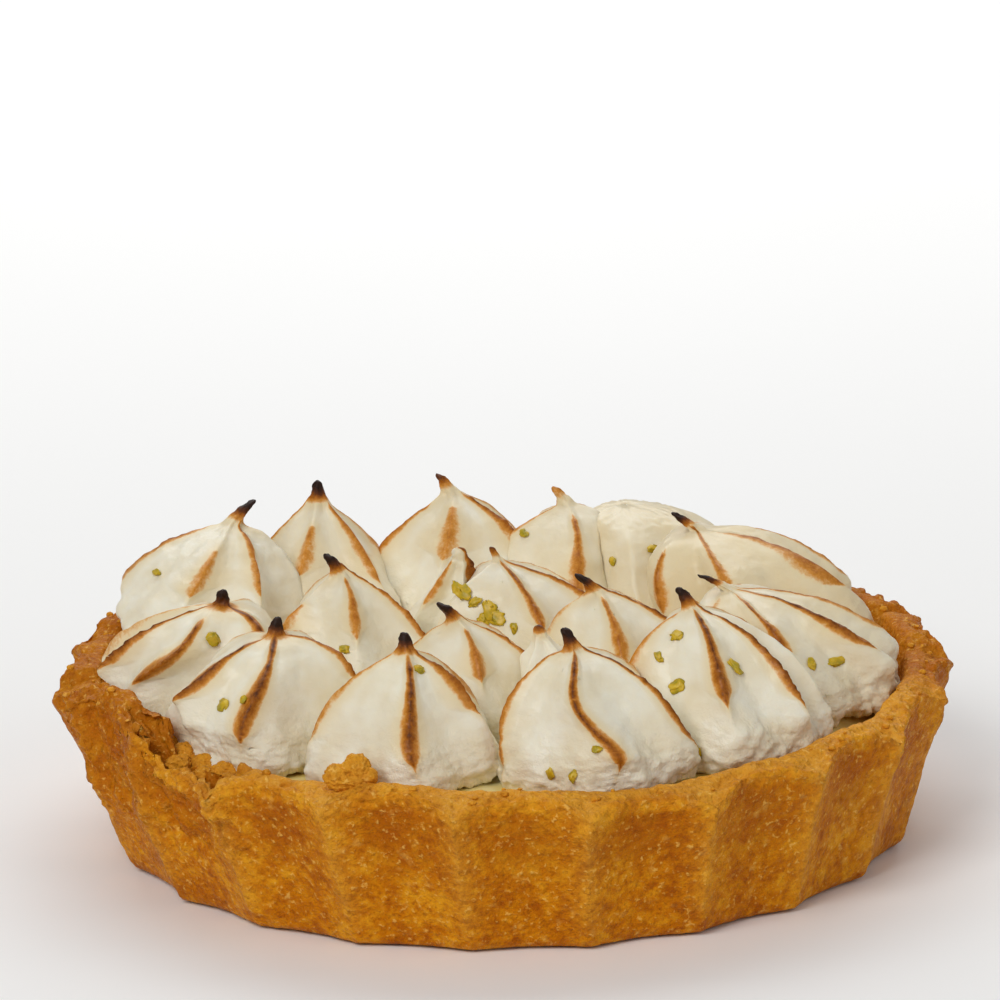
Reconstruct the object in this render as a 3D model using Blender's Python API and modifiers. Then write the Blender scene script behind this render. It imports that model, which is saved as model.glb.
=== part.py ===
"""A small round lemon meringue tart, modelled at its real size, in metres, with +Z up.

The origin is the centre of the flat underside. The crust is a fluted shortcrust shell, the filling
is a disc of lemon curd inside it, and seventeen piped meringue kisses stand on the filling. -Y is the
front of the tart.
"""

import math
from dataclasses import dataclass, replace

import bmesh
import bpy
import numpy as np
from mathutils import Matrix, Vector, noise

MM = 0.001
GAP = 0.3 * MM
NOISE_SEED = 7

# Crust: a shell baked in a fluted tin
RIM_RADIUS = 50.0 * MM
BASE_RADIUS = 43.5 * MM
RIM_HEIGHT = 18.0 * MM
CROWN_HEIGHT = 18.9 * MM
INNER_RIM_RADIUS = 44.3 * MM
INNER_FLOOR_RADIUS = 38.6 * MM
FLOOR_THICKNESS = 3.6 * MM
FLUTES = 22
FLUTE_PHASE = math.radians(-96.4)
FLUTE_DEPTH_AT_RIM = 2.3 * MM
FLUTE_DEPTH_AT_BASE = 1.5 * MM
POINT_DROP = 1.5 * MM
STEPS_PER_FLUTE = 6

# Loose crumbs on the rim: centre and size in mm
CRUMBS = (
    ((-17.4, -42.6, 19.5), (4.4, 2.9, 3.6)),
    ((-12.6, -44.6, 18.4), (2.8, 1.9, 1.9)),
)

# Filling
FILLING_TOP = 16.0 * MM
FILLING_STEPS = 46

# Kisses
KISS_FOOT = FILLING_TOP + GAP
CLEAR_OF_CRUST = INNER_RIM_RADIUS - 4 * GAP
RIM_CLEARANCE_HEIGHT = CROWN_HEIGHT + 1.5 * MM
OVERHANG = 3.8 * MM
NECK = 0.87
NUB_RADIUS = 0.6 * MM
NUB_FLARE = 0.8 * MM
LEAN_POWER = 1.5
LOWEST_RADIUS = 0.3 * MM
STEPS_PER_FOLD = 4
FOLD_STEPS = (0.0, 0.2, 0.5, 0.8)
KISS_LEVELS = (0.0, 0.07, 0.17, 0.32, 0.48, 0.62, 0.74, 0.83, 0.89, 0.96)

# Lime zest
ZEST_THICKNESS = 0.55 * MM
ZEST_SINK = 0.12 * MM


@dataclass(frozen=True)
class Break:
    """A stretch of the rim that stands above or below the rest, in mm and degrees."""

    start: float
    end: float
    rise: float
    lean: float
    edge: float


@dataclass(frozen=True)
class Kiss:
    """One piped kiss, in mm and degrees: its foot, its tip and the azimuths of its ridges."""

    name: str
    foot: tuple
    radius: float
    tip: tuple
    ridges: tuple
    twist: float = 0.0
    shoulder: float = 2.2
    roundness: float = 0.72


@dataclass(frozen=True)
class Zest:
    """A scrap of zest on a kiss: where it lies and its length and width, in degrees and mm."""

    kiss: str
    azimuth: float
    level: float
    length: float
    width: float
    turn: float


LIFTED_SLAB = Break(start=-166.0, end=-141.5, rise=4.6, lean=0.5, edge=4.0)
NOTCH = Break(start=-141.0, end=-129.0, rise=-2.6, lean=0.0, edge=2.5)
BREAKS = (
    LIFTED_SLAB,
    NOTCH,
    Break(start=-173.5, end=-168.5, rise=-2.4, lean=0.0, edge=2.5),
    Break(start=-24.0, end=-6.0, rise=0.5, lean=0.0, edge=3.0),
    Break(start=4.0, end=18.0, rise=1.0, lean=0.0, edge=3.0),
    Break(start=20.0, end=38.0, rise=1.2, lean=0.0, edge=3.0),
    Break(start=148.0, end=163.0, rise=1.6, lean=0.0, edge=3.0),
    Break(start=164.0, end=178.0, rise=0.9, lean=0.0, edge=3.0),
)

KISSES = (
    Kiss("kiss_front_left", (-10.6, -31.2), 10.7, (-10.3, -30.6, 31.6), (-175, -90, -20, 40, 105), 4),
    Kiss("kiss_front_right", (9.8, -33.0), 10.8, (6.6, -32.0, 32.0), (-165, -80, -15, 45, 110), 26, 2.6, 0.68),
    Kiss("kiss_right_front", (23.5, -24.0), 11.7, (18.9, -22.0, 33.4), (-160, -75, -20, 40, 110), 10, 2.4, 0.72),
    Kiss("kiss_right", (33.6, -6.0), 12.4, (21.5, -9.5, 31.2), (-130, -72, -22, 12, 85), 0, 2.6, 0.6),
    Kiss("kiss_right_back", (30.3, 12.6), 12.8, (19.4, 12.6, 32.2), (-140, -75, -10, 25, 95), 0, 2.4, 0.66),
    Kiss("kiss_back_right", (19.2, 26.6), 12.2, (14.5, 29.5, 29.4), (-100, -30, 25, 100, 180), 0, 3.0, 0.6),
    Kiss("kiss_back_mid", (7.4, 27.5), 11.2, (6.4, 28.5, 31.2), (-170, -80, -5, 60, 125), 5, 1.5, 0.8),
    Kiss("kiss_back", (-5.4, 29.2), 12.8, (-7.0, 31.0, 32.4), (-170, -100, -15, 45, 115), 0, 1.9, 0.75),
    Kiss("kiss_back_left", (-20.2, 23.6), 11.6, (-20.6, 25.5, 33.4), (-175, -105, -35, 40, 115), 0, 1.4, 1.0),
    Kiss("kiss_left_back", (-35.2, 12.8), 13.2, (-27.6, 18.5, 33.2), (-150, -60, 10, 80, 150), 0, 2.2, 0.76),
    Kiss("kiss_left", (-34.6, -5.0), 11.6, (-30.3, -8.0, 30.2), (-165, -125, -50, 60, 170), 0, 2.4, 0.66),
    Kiss("kiss_left_front", (-26.6, -21.8), 11.6, (-24.0, -22.0, 31.0), (-160, -98, -12, 55, 120), -6),
    Kiss("kiss_inner_left", (-17.4, 3.2), 11.6, (-19.2, 1.5, 31.4), (-150, -80, -15, 60, 130), 0, 1.6, 0.85),
    Kiss("kiss_inner_front", (-3.0, -13.0), 10.4, (-6.8, -15.5, 30.4), (170, -70, -12, 50, 110), 0, 1.9, 0.75),
    Kiss("kiss_inner_right", (14.0, -6.0), 11.2, (8.3, -7.5, 31.0), (-170, -75, -8, 60, 120), 4, 2.0, 0.72),
    Kiss("kiss_inner_back", (4.0, 8.8), 13.0, (-1.0, 5.5, 30.6), (-150, -65, -15, 60, 130), 0, 2.2, 0.7),
    Kiss("kiss_small", (6.0, -18.0), 8.0, (3.9, -16.0, 27.4), (-130, -50, 30, 110, 180), 0, 1.9, 0.75),
)

ZESTS = (
    Zest("kiss_left", -84, 0.71, 1.6, 1.2, 70),
    Zest("kiss_left_front", -121, 0.48, 1.6, 1.2, 60),
    Zest("kiss_left_front", -102, 0.56, 1.0, 0.8, 70),
    Zest("kiss_inner_left", -86, 0.40, 1.3, 1.0, 80),
    Zest("kiss_front_left", -58, 0.78, 1.4, 1.1, 50),
    Zest("kiss_inner_back", -143, 0.76, 2.0, 1.5, 50),
    Zest("kiss_inner_back", -124, 0.65, 1.8, 1.2, 130),
    Zest("kiss_inner_back", -108, 0.55, 2.2, 1.3, 80),
    Zest("kiss_inner_back", -92, 0.50, 1.1, 0.7, 10),
    Zest("kiss_back_mid", -150, 0.68, 1.1, 0.9, 60),
    Zest("kiss_back_right", -119, 0.65, 1.4, 0.9, 90),
    Zest("kiss_back_right", -80, 0.74, 1.9, 0.9, 90),
    Zest("kiss_left_back", -158, 0.60, 1.5, 0.8, 90),
    Zest("kiss_right_front", -121, 0.75, 1.4, 1.1, 90),
    Zest("kiss_right_front", -139, 0.63, 1.2, 0.8, 30),
    Zest("kiss_right_front", -122, 0.48, 1.9, 1.3, 120),
    Zest("kiss_right_front", -66, 0.61, 1.7, 1.1, 10),
    Zest("kiss_right_front", -107, 0.13, 2.0, 1.4, 20),
    Zest("kiss_front_right", -123, 0.16, 1.3, 0.9, 10),
    Zest("kiss_front_right", -106, 0.16, 1.3, 0.9, 170),
    Zest("kiss_front_right", -87, 0.35, 1.1, 0.7, 100),
    Zest("kiss_right", -66, 0.40, 1.6, 1.2, 30),
    Zest("kiss_right", -50, 0.44, 2.2, 0.9, 95),
    Zest("kiss_right_back", -22, 0.56, 1.3, 0.9, 90),
)


def material(name, colour, roughness):
    """A plain finish: colour as linear RGB."""
    made = bpy.data.materials.new(name)
    made.use_nodes = True
    shader = made.node_tree.nodes["Principled BSDF"]
    shader.inputs["Base Color"].default_value = (*colour, 1.0)
    shader.inputs["Roughness"].default_value = roughness
    shader.inputs["Metallic"].default_value = 0.0
    return made


def smooth_step(value):
    """0 below 0, 1 above 1, and a smooth turn between."""
    value = np.clip(value, 0.0, 1.0)
    return value * value * (3.0 - 2.0 * value)


def soft_least(first, second, softness):
    """The smaller of two lengths, with a rounded turn where they cross."""
    share = np.clip(0.5 + 0.5 * (second - first) / softness, 0.0, 1.0)
    return second * (1 - share) + first * share - softness * share * (1 - share)


# Crust


def flute_point(angle):
    """1 on the sharp points between two flutes, 0 in the middle of a flute."""
    return 1.0 - np.abs(np.sin((angle - FLUTE_PHASE) * FLUTES / 2))


def break_share(spot, angle):
    """How far an azimuth lies inside a broken stretch of the rim, from 0 to 1."""
    degrees = np.degrees(angle)
    inside = smooth_step((degrees - spot.start) / spot.edge + 0.5)
    return inside * smooth_step((spot.end - degrees) / spot.edge + 0.5)


def rim_change(angle):
    """How far the rim stands above its plain height, and how far it leans in, at an azimuth."""
    wave = 0.25 * np.sin(3 * angle + 1.1) + 0.2 * np.sin(7 * angle + 0.4) + 0.2 * np.sin(16 * angle)
    rise = wave * MM
    lean = np.zeros_like(angle)
    for spot in BREAKS:
        share = break_share(spot, angle)
        rise = rise + share * spot.rise * MM
        lean = lean + share * spot.lean * MM
    return rise, lean


def crust_point(angle, radius, height):
    """Where a point of the plain turned shell goes once it is fluted and its rim is uneven."""
    up = np.clip(height / RIM_HEIGHT, 0.0, 1.0)
    outer = BASE_RADIUS + (RIM_RADIUS - BASE_RADIUS) * up
    inner = INNER_FLOOR_RADIUS + (INNER_RIM_RADIUS - INNER_FLOOR_RADIUS) * up
    across = smooth_step((radius - inner) / (outer - inner))
    depth = FLUTE_DEPTH_AT_BASE + (FLUTE_DEPTH_AT_RIM - FLUTE_DEPTH_AT_BASE) * up
    point = flute_point(angle)
    rise, lean = rim_change(angle)
    near_rim = smooth_step((up - 0.55) / 0.45) * smooth_step((radius - 43.9 * MM) / (0.3 * MM))
    radius = radius - across * depth * (1.0 - point) - near_rim * lean * across
    height = height + near_rim * (rise - POINT_DROP * across * point ** 2)
    return radius, height


def crust_profile():
    """Radius and height down the shell's section, from the inside floor over the rim to the base."""
    wall = RIM_RADIUS - BASE_RADIUS

    def outer(height):
        return BASE_RADIUS + wall * height / RIM_HEIGHT

    return (
        (0.0, FLOOR_THICKNESS),
        (INNER_FLOOR_RADIUS, FLOOR_THICKNESS),
        (41.6 * MM, 11.0 * MM),
        (43.6 * MM, 16.2 * MM),
        (INNER_RIM_RADIUS, 18.1 * MM),
        (45.5 * MM, CROWN_HEIGHT),
        (47.4 * MM, 18.6 * MM),
        (49.3 * MM, 17.8 * MM),
        (outer(16.4 * MM), 16.4 * MM),
        (outer(13.4 * MM), 13.4 * MM),
        (outer(9.4 * MM), 9.4 * MM),
        (outer(5.2 * MM), 5.2 * MM),
        (outer(1.2 * MM), 1.2 * MM),
        (42.9 * MM, 0.3 * MM),
        (41.2 * MM, 0.0),
        (0.0, 0.0),
    )


def turned(name, profile, steps):
    """A profile of radius and height turned round Z into a closed mesh object."""
    mesh = bpy.data.meshes.new(name)
    cage = bmesh.new()
    points = [cage.verts.new((radius, 0.0, height)) for radius, height in profile]
    for first, second in zip(points, points[1:]):
        cage.edges.new((first, second))
    cage.to_mesh(mesh)
    cage.free()
    made = bpy.data.objects.new(name, mesh)
    bpy.context.scene.collection.objects.link(made)
    screw = made.modifiers.new("Turn", "SCREW")
    screw.steps = steps
    screw.render_steps = steps
    screw.use_merge_vertices = True
    screw.merge_threshold = 0.0001 * MM
    graph = bpy.context.evaluated_depsgraph_get()
    solid = bpy.data.meshes.new_from_object(made.evaluated_get(graph))
    made.modifiers.clear()
    made.data = solid
    bpy.data.meshes.remove(mesh)
    weld_poles(solid)
    return made


def weld_poles(mesh):
    """Joins the points that meet on the axis and the seam of a turned mesh."""
    cage = bmesh.new()
    cage.from_mesh(mesh)
    bmesh.ops.remove_doubles(cage, verts=cage.verts, dist=0.001 * MM)
    cage.to_mesh(mesh)
    cage.free()


def crag(point, angle):
    """A small uneven shift of a point on the crust, strongest on the rim and none on the base."""
    height = point.z
    rough = 0.16 * MM + 0.3 * MM * float(smooth_step((height / RIM_HEIGHT - 0.75) / 0.25))
    for spot in (LIFTED_SLAB, NOTCH):
        near = replace(spot, start=spot.start - 2, end=spot.end + 2)
        rough += 0.35 * MM * float(break_share(near, angle)) * float(smooth_step(height / RIM_HEIGHT - 0.3))
    seed = Vector(point) / (2.4 * MM)
    return noise.noise_vector(seed) * rough


def make_crust(finish):
    """The fluted shell, with its crumbled rim and the slab that has lifted at the front left."""
    crust = turned("crust", crust_profile(), FLUTES * STEPS_PER_FLUTE)
    for vertex in crust.data.vertices:
        x, y, height = vertex.co
        radius = math.hypot(x, y)
        angle = math.atan2(y, x)
        moved, level = crust_point(np.array(angle), np.array(radius), np.array(height))
        outside = radius > INNER_RIM_RADIUS + 0.5 * MM
        if radius > MM:
            vertex.co = (math.cos(angle) * moved, math.sin(angle) * moved, level)
            if outside and height > 0.1 * MM:
                vertex.co += crag(vertex.co.copy(), angle)
    crust.data.materials.append(finish)
    return crust


def make_crumb(centre, size):
    """A loose crumb of crust, in mm, which sits on the rim."""
    mesh = bpy.data.meshes.new("crumb")
    cage = bmesh.new()
    bmesh.ops.create_icosphere(cage, subdivisions=2, radius=0.5)
    for vertex in cage.verts:
        spot = vertex.co + noise.noise_vector(vertex.co * 3.0 + Vector(centre)) * 0.14
        vertex.co = (Vector(centre) + Vector(spot[axis] * size[axis] for axis in range(3))) * MM
    cage.to_mesh(mesh)
    cage.free()
    return bpy.data.objects.new("crumb", mesh)


# Filling


def make_filling(finish):
    """The curd, which fills the shell to just under the rim."""
    low = FLOOR_THICKNESS + GAP
    slope = (INNER_RIM_RADIUS - INNER_FLOOR_RADIUS) / (17.3 * MM - FLOOR_THICKNESS)

    def inside(height):
        return INNER_FLOOR_RADIUS + slope * (height - FLOOR_THICKNESS) - 1.6 * GAP

    profile = (
        (0.0, FILLING_TOP),
        (24.0 * MM, FILLING_TOP),
        (inside(FILLING_TOP) - 1.2 * MM, FILLING_TOP),
        (inside(FILLING_TOP - 0.5 * MM), FILLING_TOP - 0.5 * MM),
        (inside(low), low),
        (0.0, low),
    )
    filling = turned("filling", profile, FILLING_STEPS)
    filling.data.materials.append(finish)
    return filling


# Kisses


def level_of(kiss, height):
    """A height as a share of the way from a kiss's foot to its tip."""
    return np.clip((height - KISS_FOOT) / (kiss.tip[2] * MM - KISS_FOOT), 0.0, 1.0)


def axis_at(kiss, height):
    """The centre of a kiss at a height, which leans from its foot to its tip."""
    share = level_of(kiss, height)[:, None] ** LEAN_POWER
    foot = np.array(kiss.foot) * MM
    tip = np.array(kiss.tip[:2]) * MM
    return foot + (tip - foot) * share


def spread_at(kiss, height):
    """The radius of a kiss at a height, along its ridges."""
    level = level_of(kiss, height)
    body = (1.0 - np.clip(level / NECK, 0.0, 1.0) ** kiss.shoulder) ** kiss.roundness
    tuck = 0.9 + 0.1 * smooth_step(level / 0.12)
    nub = NUB_RADIUS * np.sqrt(np.clip(1.0 - ((level - 0.94) / 0.06).clip(0, 1) ** 2, 0.02, 1.0))
    flare = NUB_FLARE * np.clip((0.95 - level) / 0.12, 0.0, 1.0) ** 2
    return (kiss.radius * MM - NUB_RADIUS - NUB_FLARE) * body * tuck + nub + flare


def fold_depth(level):
    """How deep the faces lie between the ridges, as a share of the radius."""
    return 0.10 + 0.16 * smooth_step(level / 0.5) - 0.20 * smooth_step((level - 0.78) / 0.2)


def ridge_directions(kiss, sector, share, level):
    """The azimuth of a point that lies a share of the way from one ridge to the next."""
    ridges = np.radians(np.sort(np.array(kiss.ridges, float)))
    widths = np.diff(np.append(ridges, ridges[0] + 2 * math.pi))
    return ridges[sector] + widths[sector] * share + math.radians(kiss.twist) * (0.5 - level)


def within_cell(kiss, azimuth, reach, height, others):
    """Holds a point's reach back where the kiss is pressed against a neighbour or the crust."""
    centre = axis_at(kiss, height)
    own = spread_at(kiss, height)
    heading = np.stack([np.cos(azimuth), np.sin(azimuth)], axis=1)
    for other in others:
        there = axis_at(other, height)
        theirs = spread_at(other, height)
        apart = there - centre
        distance = np.hypot(apart[:, 0], apart[:, 1])
        towards = (heading * apart).sum(axis=1) / distance
        edge = (distance ** 2 + own ** 2 - theirs ** 2) / (2 * distance) - GAP / 2
        limit = np.where(towards > 0.03, edge / np.maximum(towards, 0.03), 1.0)
        present = height < other.tip[2] * MM
        reach = np.where(present, soft_least(reach, limit, 0.6 * MM), reach)
    along = (heading * centre).sum(axis=1)
    spot = centre + heading * reach[:, None]
    rise = np.maximum(rim_change(np.arctan2(spot[:, 1], spot[:, 0]))[0], 0.0)
    over_rim = smooth_step((height - RIM_CLEARANCE_HEIGHT - rise) / (1.5 * MM))
    bound = CLEAR_OF_CRUST + OVERHANG * over_rim
    inside = along ** 2 - (centre ** 2).sum(axis=1) + bound ** 2
    limit = np.sqrt(np.maximum(inside, 0.0)) - along
    return np.maximum(soft_least(reach, limit, 0.5 * MM), LOWEST_RADIUS)


def kiss_points(kiss, sector, share, level, others):
    """Points on a kiss, from the ridge they follow, the way to the next ridge, and the level."""
    azimuth = ridge_directions(kiss, sector, share, level)
    height = KISS_FOOT + level * (kiss.tip[2] * MM - KISS_FOOT)
    valley = np.sin(math.pi * share)
    reach = spread_at(kiss, height) * (1.0 - fold_depth(level) * valley)
    reach = within_cell(kiss, azimuth, reach, height, others)
    centre = axis_at(kiss, height)
    return np.stack(
        [
            centre[:, 0] + np.cos(azimuth) * reach,
            centre[:, 1] + np.sin(azimuth) * reach,
            height,
        ],
        axis=1,
    )


def surface_point(kiss, azimuth, level):
    """The point of a kiss at an azimuth, in degrees, and a level."""
    ridges = np.sort(np.array(kiss.ridges, float))
    turned_back = azimuth - kiss.twist * (0.5 - level)
    along = (turned_back - ridges[0]) % 360.0
    starts = ridges - ridges[0]
    widths = np.diff(np.append(starts, 360.0))
    sector = int(np.searchsorted(starts, along, side="right") - 1)
    share = (along - starts[sector]) / widths[sector]
    point = kiss_points(kiss, np.array([sector]), np.array([share]), np.array([level]), neighbours(kiss))
    return Vector(point[0])


def make_zest(zest, kiss, target):
    """One scrap of zest, lying on its kiss: a crumpled flake."""
    near = surface_point(kiss, zest.azimuth, zest.level)
    found, here, outward, face = target.closest_point_on_mesh(near)
    upward = Vector((0.0, 0.0, 1.0))
    along = (upward - outward * upward.dot(outward)).normalized()
    along.rotate(Matrix.Rotation(math.radians(zest.turn), 3, outward))
    frame = Matrix((along, outward.cross(along), outward)).transposed().to_4x4()
    frame.translation = here + outward * (ZEST_THICKNESS / 2 - ZEST_SINK)
    mesh = bpy.data.meshes.new("zest")
    cage = bmesh.new()
    bmesh.ops.create_icosphere(cage, subdivisions=1, radius=0.5)
    for vertex in cage.verts:
        bend = noise.noise_vector(vertex.co * 2.0 + here / MM) * 0.22
        spot = vertex.co + Vector((bend.x, bend.y, 0.0))
        vertex.co = Vector((spot.x * zest.length * MM, spot.y * zest.width * MM, spot.z * ZEST_THICKNESS))
    cage.transform(frame)
    cage.to_mesh(mesh)
    cage.free()
    return bpy.data.objects.new("zest", mesh)


def fuse(target, bits):
    """Joins bits to the object they lie on, in one solid."""
    group = bpy.data.collections.new(target.name + "_bits")
    bpy.context.scene.collection.children.link(group)
    for bit in bits:
        group.objects.link(bit)
        bit.data.materials.append(target.data.materials[0])
    union = target.modifiers.new("Join", "BOOLEAN")
    union.operation = "UNION"
    union.operand_type = "COLLECTION"
    union.collection = group
    union.solver = "EXACT"
    bpy.context.view_layer.update()
    graph = bpy.context.evaluated_depsgraph_get()
    solid = bpy.data.meshes.new_from_object(target.evaluated_get(graph))
    target.modifiers.clear()
    target.data = solid
    for bit in bits:
        bpy.data.objects.remove(bit)
    bpy.data.collections.remove(group)


def neighbours(kiss):
    """The kisses close enough to press against this one."""
    close = []
    for other in KISSES:
        distance = math.dist(kiss.foot, other.foot)
        if other is not kiss and distance < kiss.radius + other.radius + 6.0:
            close.append(other)
    return close


def make_kiss(kiss, finish):
    """One kiss: a globe whose rings become its foot, its folded body and its pointed tip."""
    folds = len(kiss.ridges)
    around = folds * STEPS_PER_FOLD
    cage = bmesh.new()
    bmesh.ops.create_uvsphere(cage, u_segments=around, v_segments=len(KISS_LEVELS) + 1, radius=1.0)
    cage.verts.ensure_lookup_table()
    corners = np.array([vertex.co for vertex in cage.verts])
    ring = np.rint((1 - np.arccos(np.clip(corners[:, 2], -1, 1)) / math.pi) * (len(KISS_LEVELS) + 1))
    step = np.rint(np.arctan2(corners[:, 1], corners[:, 0]) / (2 * math.pi) * around) % around
    step = step.astype(int)
    level = np.array((0.0, *KISS_LEVELS, 1.0))[ring.astype(int)]
    share = np.array(FOLD_STEPS)[step % STEPS_PER_FOLD]
    placed = kiss_points(kiss, step // STEPS_PER_FOLD, share, level, neighbours(kiss))
    poles = (ring == 0) | (ring == len(KISS_LEVELS) + 1)
    height = KISS_FOOT + level * (kiss.tip[2] * MM - KISS_FOOT)
    placed[poles, :2] = axis_at(kiss, height)[poles]
    for vertex, place in zip(cage.verts, placed):
        vertex.co = place
    mesh = bpy.data.meshes.new(kiss.name)
    cage.to_mesh(mesh)
    cage.free()
    made = bpy.data.objects.new(kiss.name, mesh)
    bpy.context.scene.collection.objects.link(made)
    mesh.materials.append(finish)
    return made


def main():
    """Clears the scene and builds the tart."""
    for old in list(bpy.data.objects):
        bpy.data.objects.remove(old)
    noise.seed_set(NOISE_SEED)
    crust_finish = material("shortcrust", (0.52, 0.25, 0.05), 0.75)
    curd = material("lemon_curd", (0.75, 0.66, 0.22), 0.35)
    meringue = material("meringue", (0.86, 0.82, 0.72), 0.5)
    fuse(make_crust(crust_finish), [make_crumb(centre, size) for centre, size in CRUMBS])
    make_filling(curd)
    for kiss in KISSES:
        made = make_kiss(kiss, meringue)
        scraps = [make_zest(zest, kiss, made) for zest in ZESTS if zest.kiss == kiss.name]
        if scraps:
            fuse(made, scraps)


main()
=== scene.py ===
"""Looks for a small round lemon meringue tart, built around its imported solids.

A fluted shortcrust shell holds lemon curd and seventeen piped kisses of Italian meringue, which a
blowtorch has browned along their ridges, with scraps of lime zest on them. -Y is the front.
"""

import logging
import math
from dataclasses import dataclass
from enum import Enum
from typing import Any, Mapping, Optional, Sequence

import bmesh
import bpy
import numpy as np
from mathutils import Matrix, Quaternion, Vector, noise


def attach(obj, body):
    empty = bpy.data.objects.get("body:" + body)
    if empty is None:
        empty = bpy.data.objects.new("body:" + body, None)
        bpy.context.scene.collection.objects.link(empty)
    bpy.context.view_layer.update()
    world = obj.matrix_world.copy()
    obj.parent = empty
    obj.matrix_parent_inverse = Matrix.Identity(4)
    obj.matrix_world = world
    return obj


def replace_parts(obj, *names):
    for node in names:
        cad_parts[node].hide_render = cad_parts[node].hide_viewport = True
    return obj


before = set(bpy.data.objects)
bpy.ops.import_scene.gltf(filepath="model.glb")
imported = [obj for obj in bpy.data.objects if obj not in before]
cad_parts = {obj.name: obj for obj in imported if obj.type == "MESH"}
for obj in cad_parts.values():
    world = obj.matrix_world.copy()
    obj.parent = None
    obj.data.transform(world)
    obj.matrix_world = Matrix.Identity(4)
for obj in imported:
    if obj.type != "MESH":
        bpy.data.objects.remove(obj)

MM = 0.001
NOISE_SEED = 11
log = logging.getLogger("tart")


class Browning(Enum):
    """How far the torch has taken a ridge: the heat at its crest, from 0, white, to 1, charred."""

    NONE = 0.0
    FAINT = 0.13
    TAN = 0.25
    GOLDEN = 0.36
    BROWN = 0.48
    DARK = 0.58


class TipChar(Enum):
    """How far the torch has taken the tip of a kiss."""

    PALE = 0.0
    SINGED = 0.24
    BROWN = 0.5
    BLACK = 0.9


# Small helpers


def linear(colour: str, alpha: float = 1.0) -> tuple[float, float, float, float]:
    """Turns an sRGB hex colour to linear values.

    Args:
        colour: the colour, such as "#c08736".
        alpha: its opacity.

    Returns:
        Red, green, blue and alpha, linear.
    """
    parts = [int(colour[i : i + 2], 16) / 255 for i in (1, 3, 5)]
    red, green, blue = (p / 12.92 if p <= 0.04045 else ((p + 0.055) / 1.055) ** 2.4 for p in parts)
    return red, green, blue, alpha


def smooth_step(value: Any) -> Any:
    """Gives 0 below 0, 1 above 1, and a smooth turn between, for a number or an array."""
    value = np.clip(value, 0.0, 1.0)
    return value * value * (3.0 - 2.0 * value)


def soft_least(first: np.ndarray, second: np.ndarray, softness: float) -> np.ndarray:
    """Takes the smaller of two lengths, with a rounded turn where they cross.

    Args:
        first: one length at each point.
        second: the other.
        softness: how far apart the two are where the turn begins.

    Returns:
        The smaller length at each point.
    """
    share = np.clip(0.5 + 0.5 * (second - first) / softness, 0.0, 1.0)
    return second * (1 - share) + first * share - softness * share * (1 - share)


def rough(points: np.ndarray, size: float, octaves: int = 1, seed: float = 0.0) -> np.ndarray:
    """Uneven values between about -1 and 1 over points in space.

    Args:
        points: the points, in metres.
        size: the size of the unevenness, in millimetres.
        octaves: how many finer layers it has.
        seed: moves the pattern.

    Returns:
        One value at each point.
    """
    spots = points / (size * MM) + seed
    if octaves == 1:
        return np.array([noise.noise(spot) for spot in spots.tolist()])
    return np.array([noise.fractal(spot, 0.7, 2.0, octaves) for spot in spots.tolist()])


def grains(points: np.ndarray, size: float) -> np.ndarray:
    """Domes packed side by side, as crumbs are.

    Args:
        points: the points, in metres.
        size: the width of a crumb, in millimetres.

    Returns:
        0 between two crumbs to about 1 on top of one, at each point.
    """
    spots = (points / (size * MM)).tolist()
    nearest = np.array([noise.voronoi(spot)[0][0] for spot in spots])
    return 1.0 - np.clip(nearest, 0.0, 1.0) ** 2


def add_node(
    tree: bpy.types.NodeTree,
    kind: str,
    values: Optional[Mapping[Any, Any]] = None,
    links: Optional[Mapping[Any, bpy.types.NodeSocket]] = None,
    stops: Sequence[tuple[float, str]] = (),
    **settings: Any,
) -> bpy.types.Node:
    """Adds a shader node with its settings and links.

    Args:
        tree: the node tree of the material.
        kind: the node's type.
        values: plain values of its inputs.
        links: sockets that feed its inputs.
        stops: places and colours along its ramp.
        settings: properties of the node.

    Returns:
        The node.
    """
    node = tree.nodes.new(kind)
    for name, value in settings.items():
        setattr(node, name, value)
    for socket, value in (values or {}).items():
        node.inputs[socket].default_value = value
    for socket, source in (links or {}).items():
        tree.links.new(source, node.inputs[socket])
    for index, (place, colour) in enumerate(stops):
        ramp = node.color_ramp.elements
        stop = ramp[index] if index < 2 else ramp.new(place)
        stop.position = place
        stop.color = linear(colour)
    return node


def clear_selection() -> None:
    """Leaves edit mode and deselects every object."""
    if bpy.context.mode != "OBJECT":
        bpy.ops.object.mode_set(mode="OBJECT")
    bpy.ops.object.select_all(action="DESELECT")


def corners(piece: bpy.types.Object) -> np.ndarray:
    """Reads a piece's vertices as an array of points."""
    flat = np.empty(len(piece.data.vertices) * 3)
    piece.data.vertices.foreach_get("co", flat)
    return flat.reshape(-1, 3)


def move_corners(piece: bpy.types.Object, points: np.ndarray) -> None:
    """Writes a piece's vertices.

    Args:
        piece: the mesh object.
        points: the new place of each vertex, in metres.
    """
    piece.data.vertices.foreach_set("co", points.ravel())
    piece.data.update()


def outward(piece: bpy.types.Object) -> np.ndarray:
    """Reads the direction that a piece faces at each vertex."""
    flat = np.empty(len(piece.data.vertices) * 3, np.float32)
    piece.data.vertex_normals.foreach_get("vector", flat)
    return flat.reshape(-1, 3).astype(float)


def note(piece: bpy.types.Object, name: str, values: np.ndarray) -> None:
    """Keeps a value at each vertex as an attribute that a material reads.

    Args:
        piece: the mesh object.
        name: the attribute's name.
        values: one value for each vertex.
    """
    attribute = piece.data.attributes.new(name, "FLOAT", "POINT")
    attribute.data.foreach_set("value", np.asarray(values, np.float32))


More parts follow.
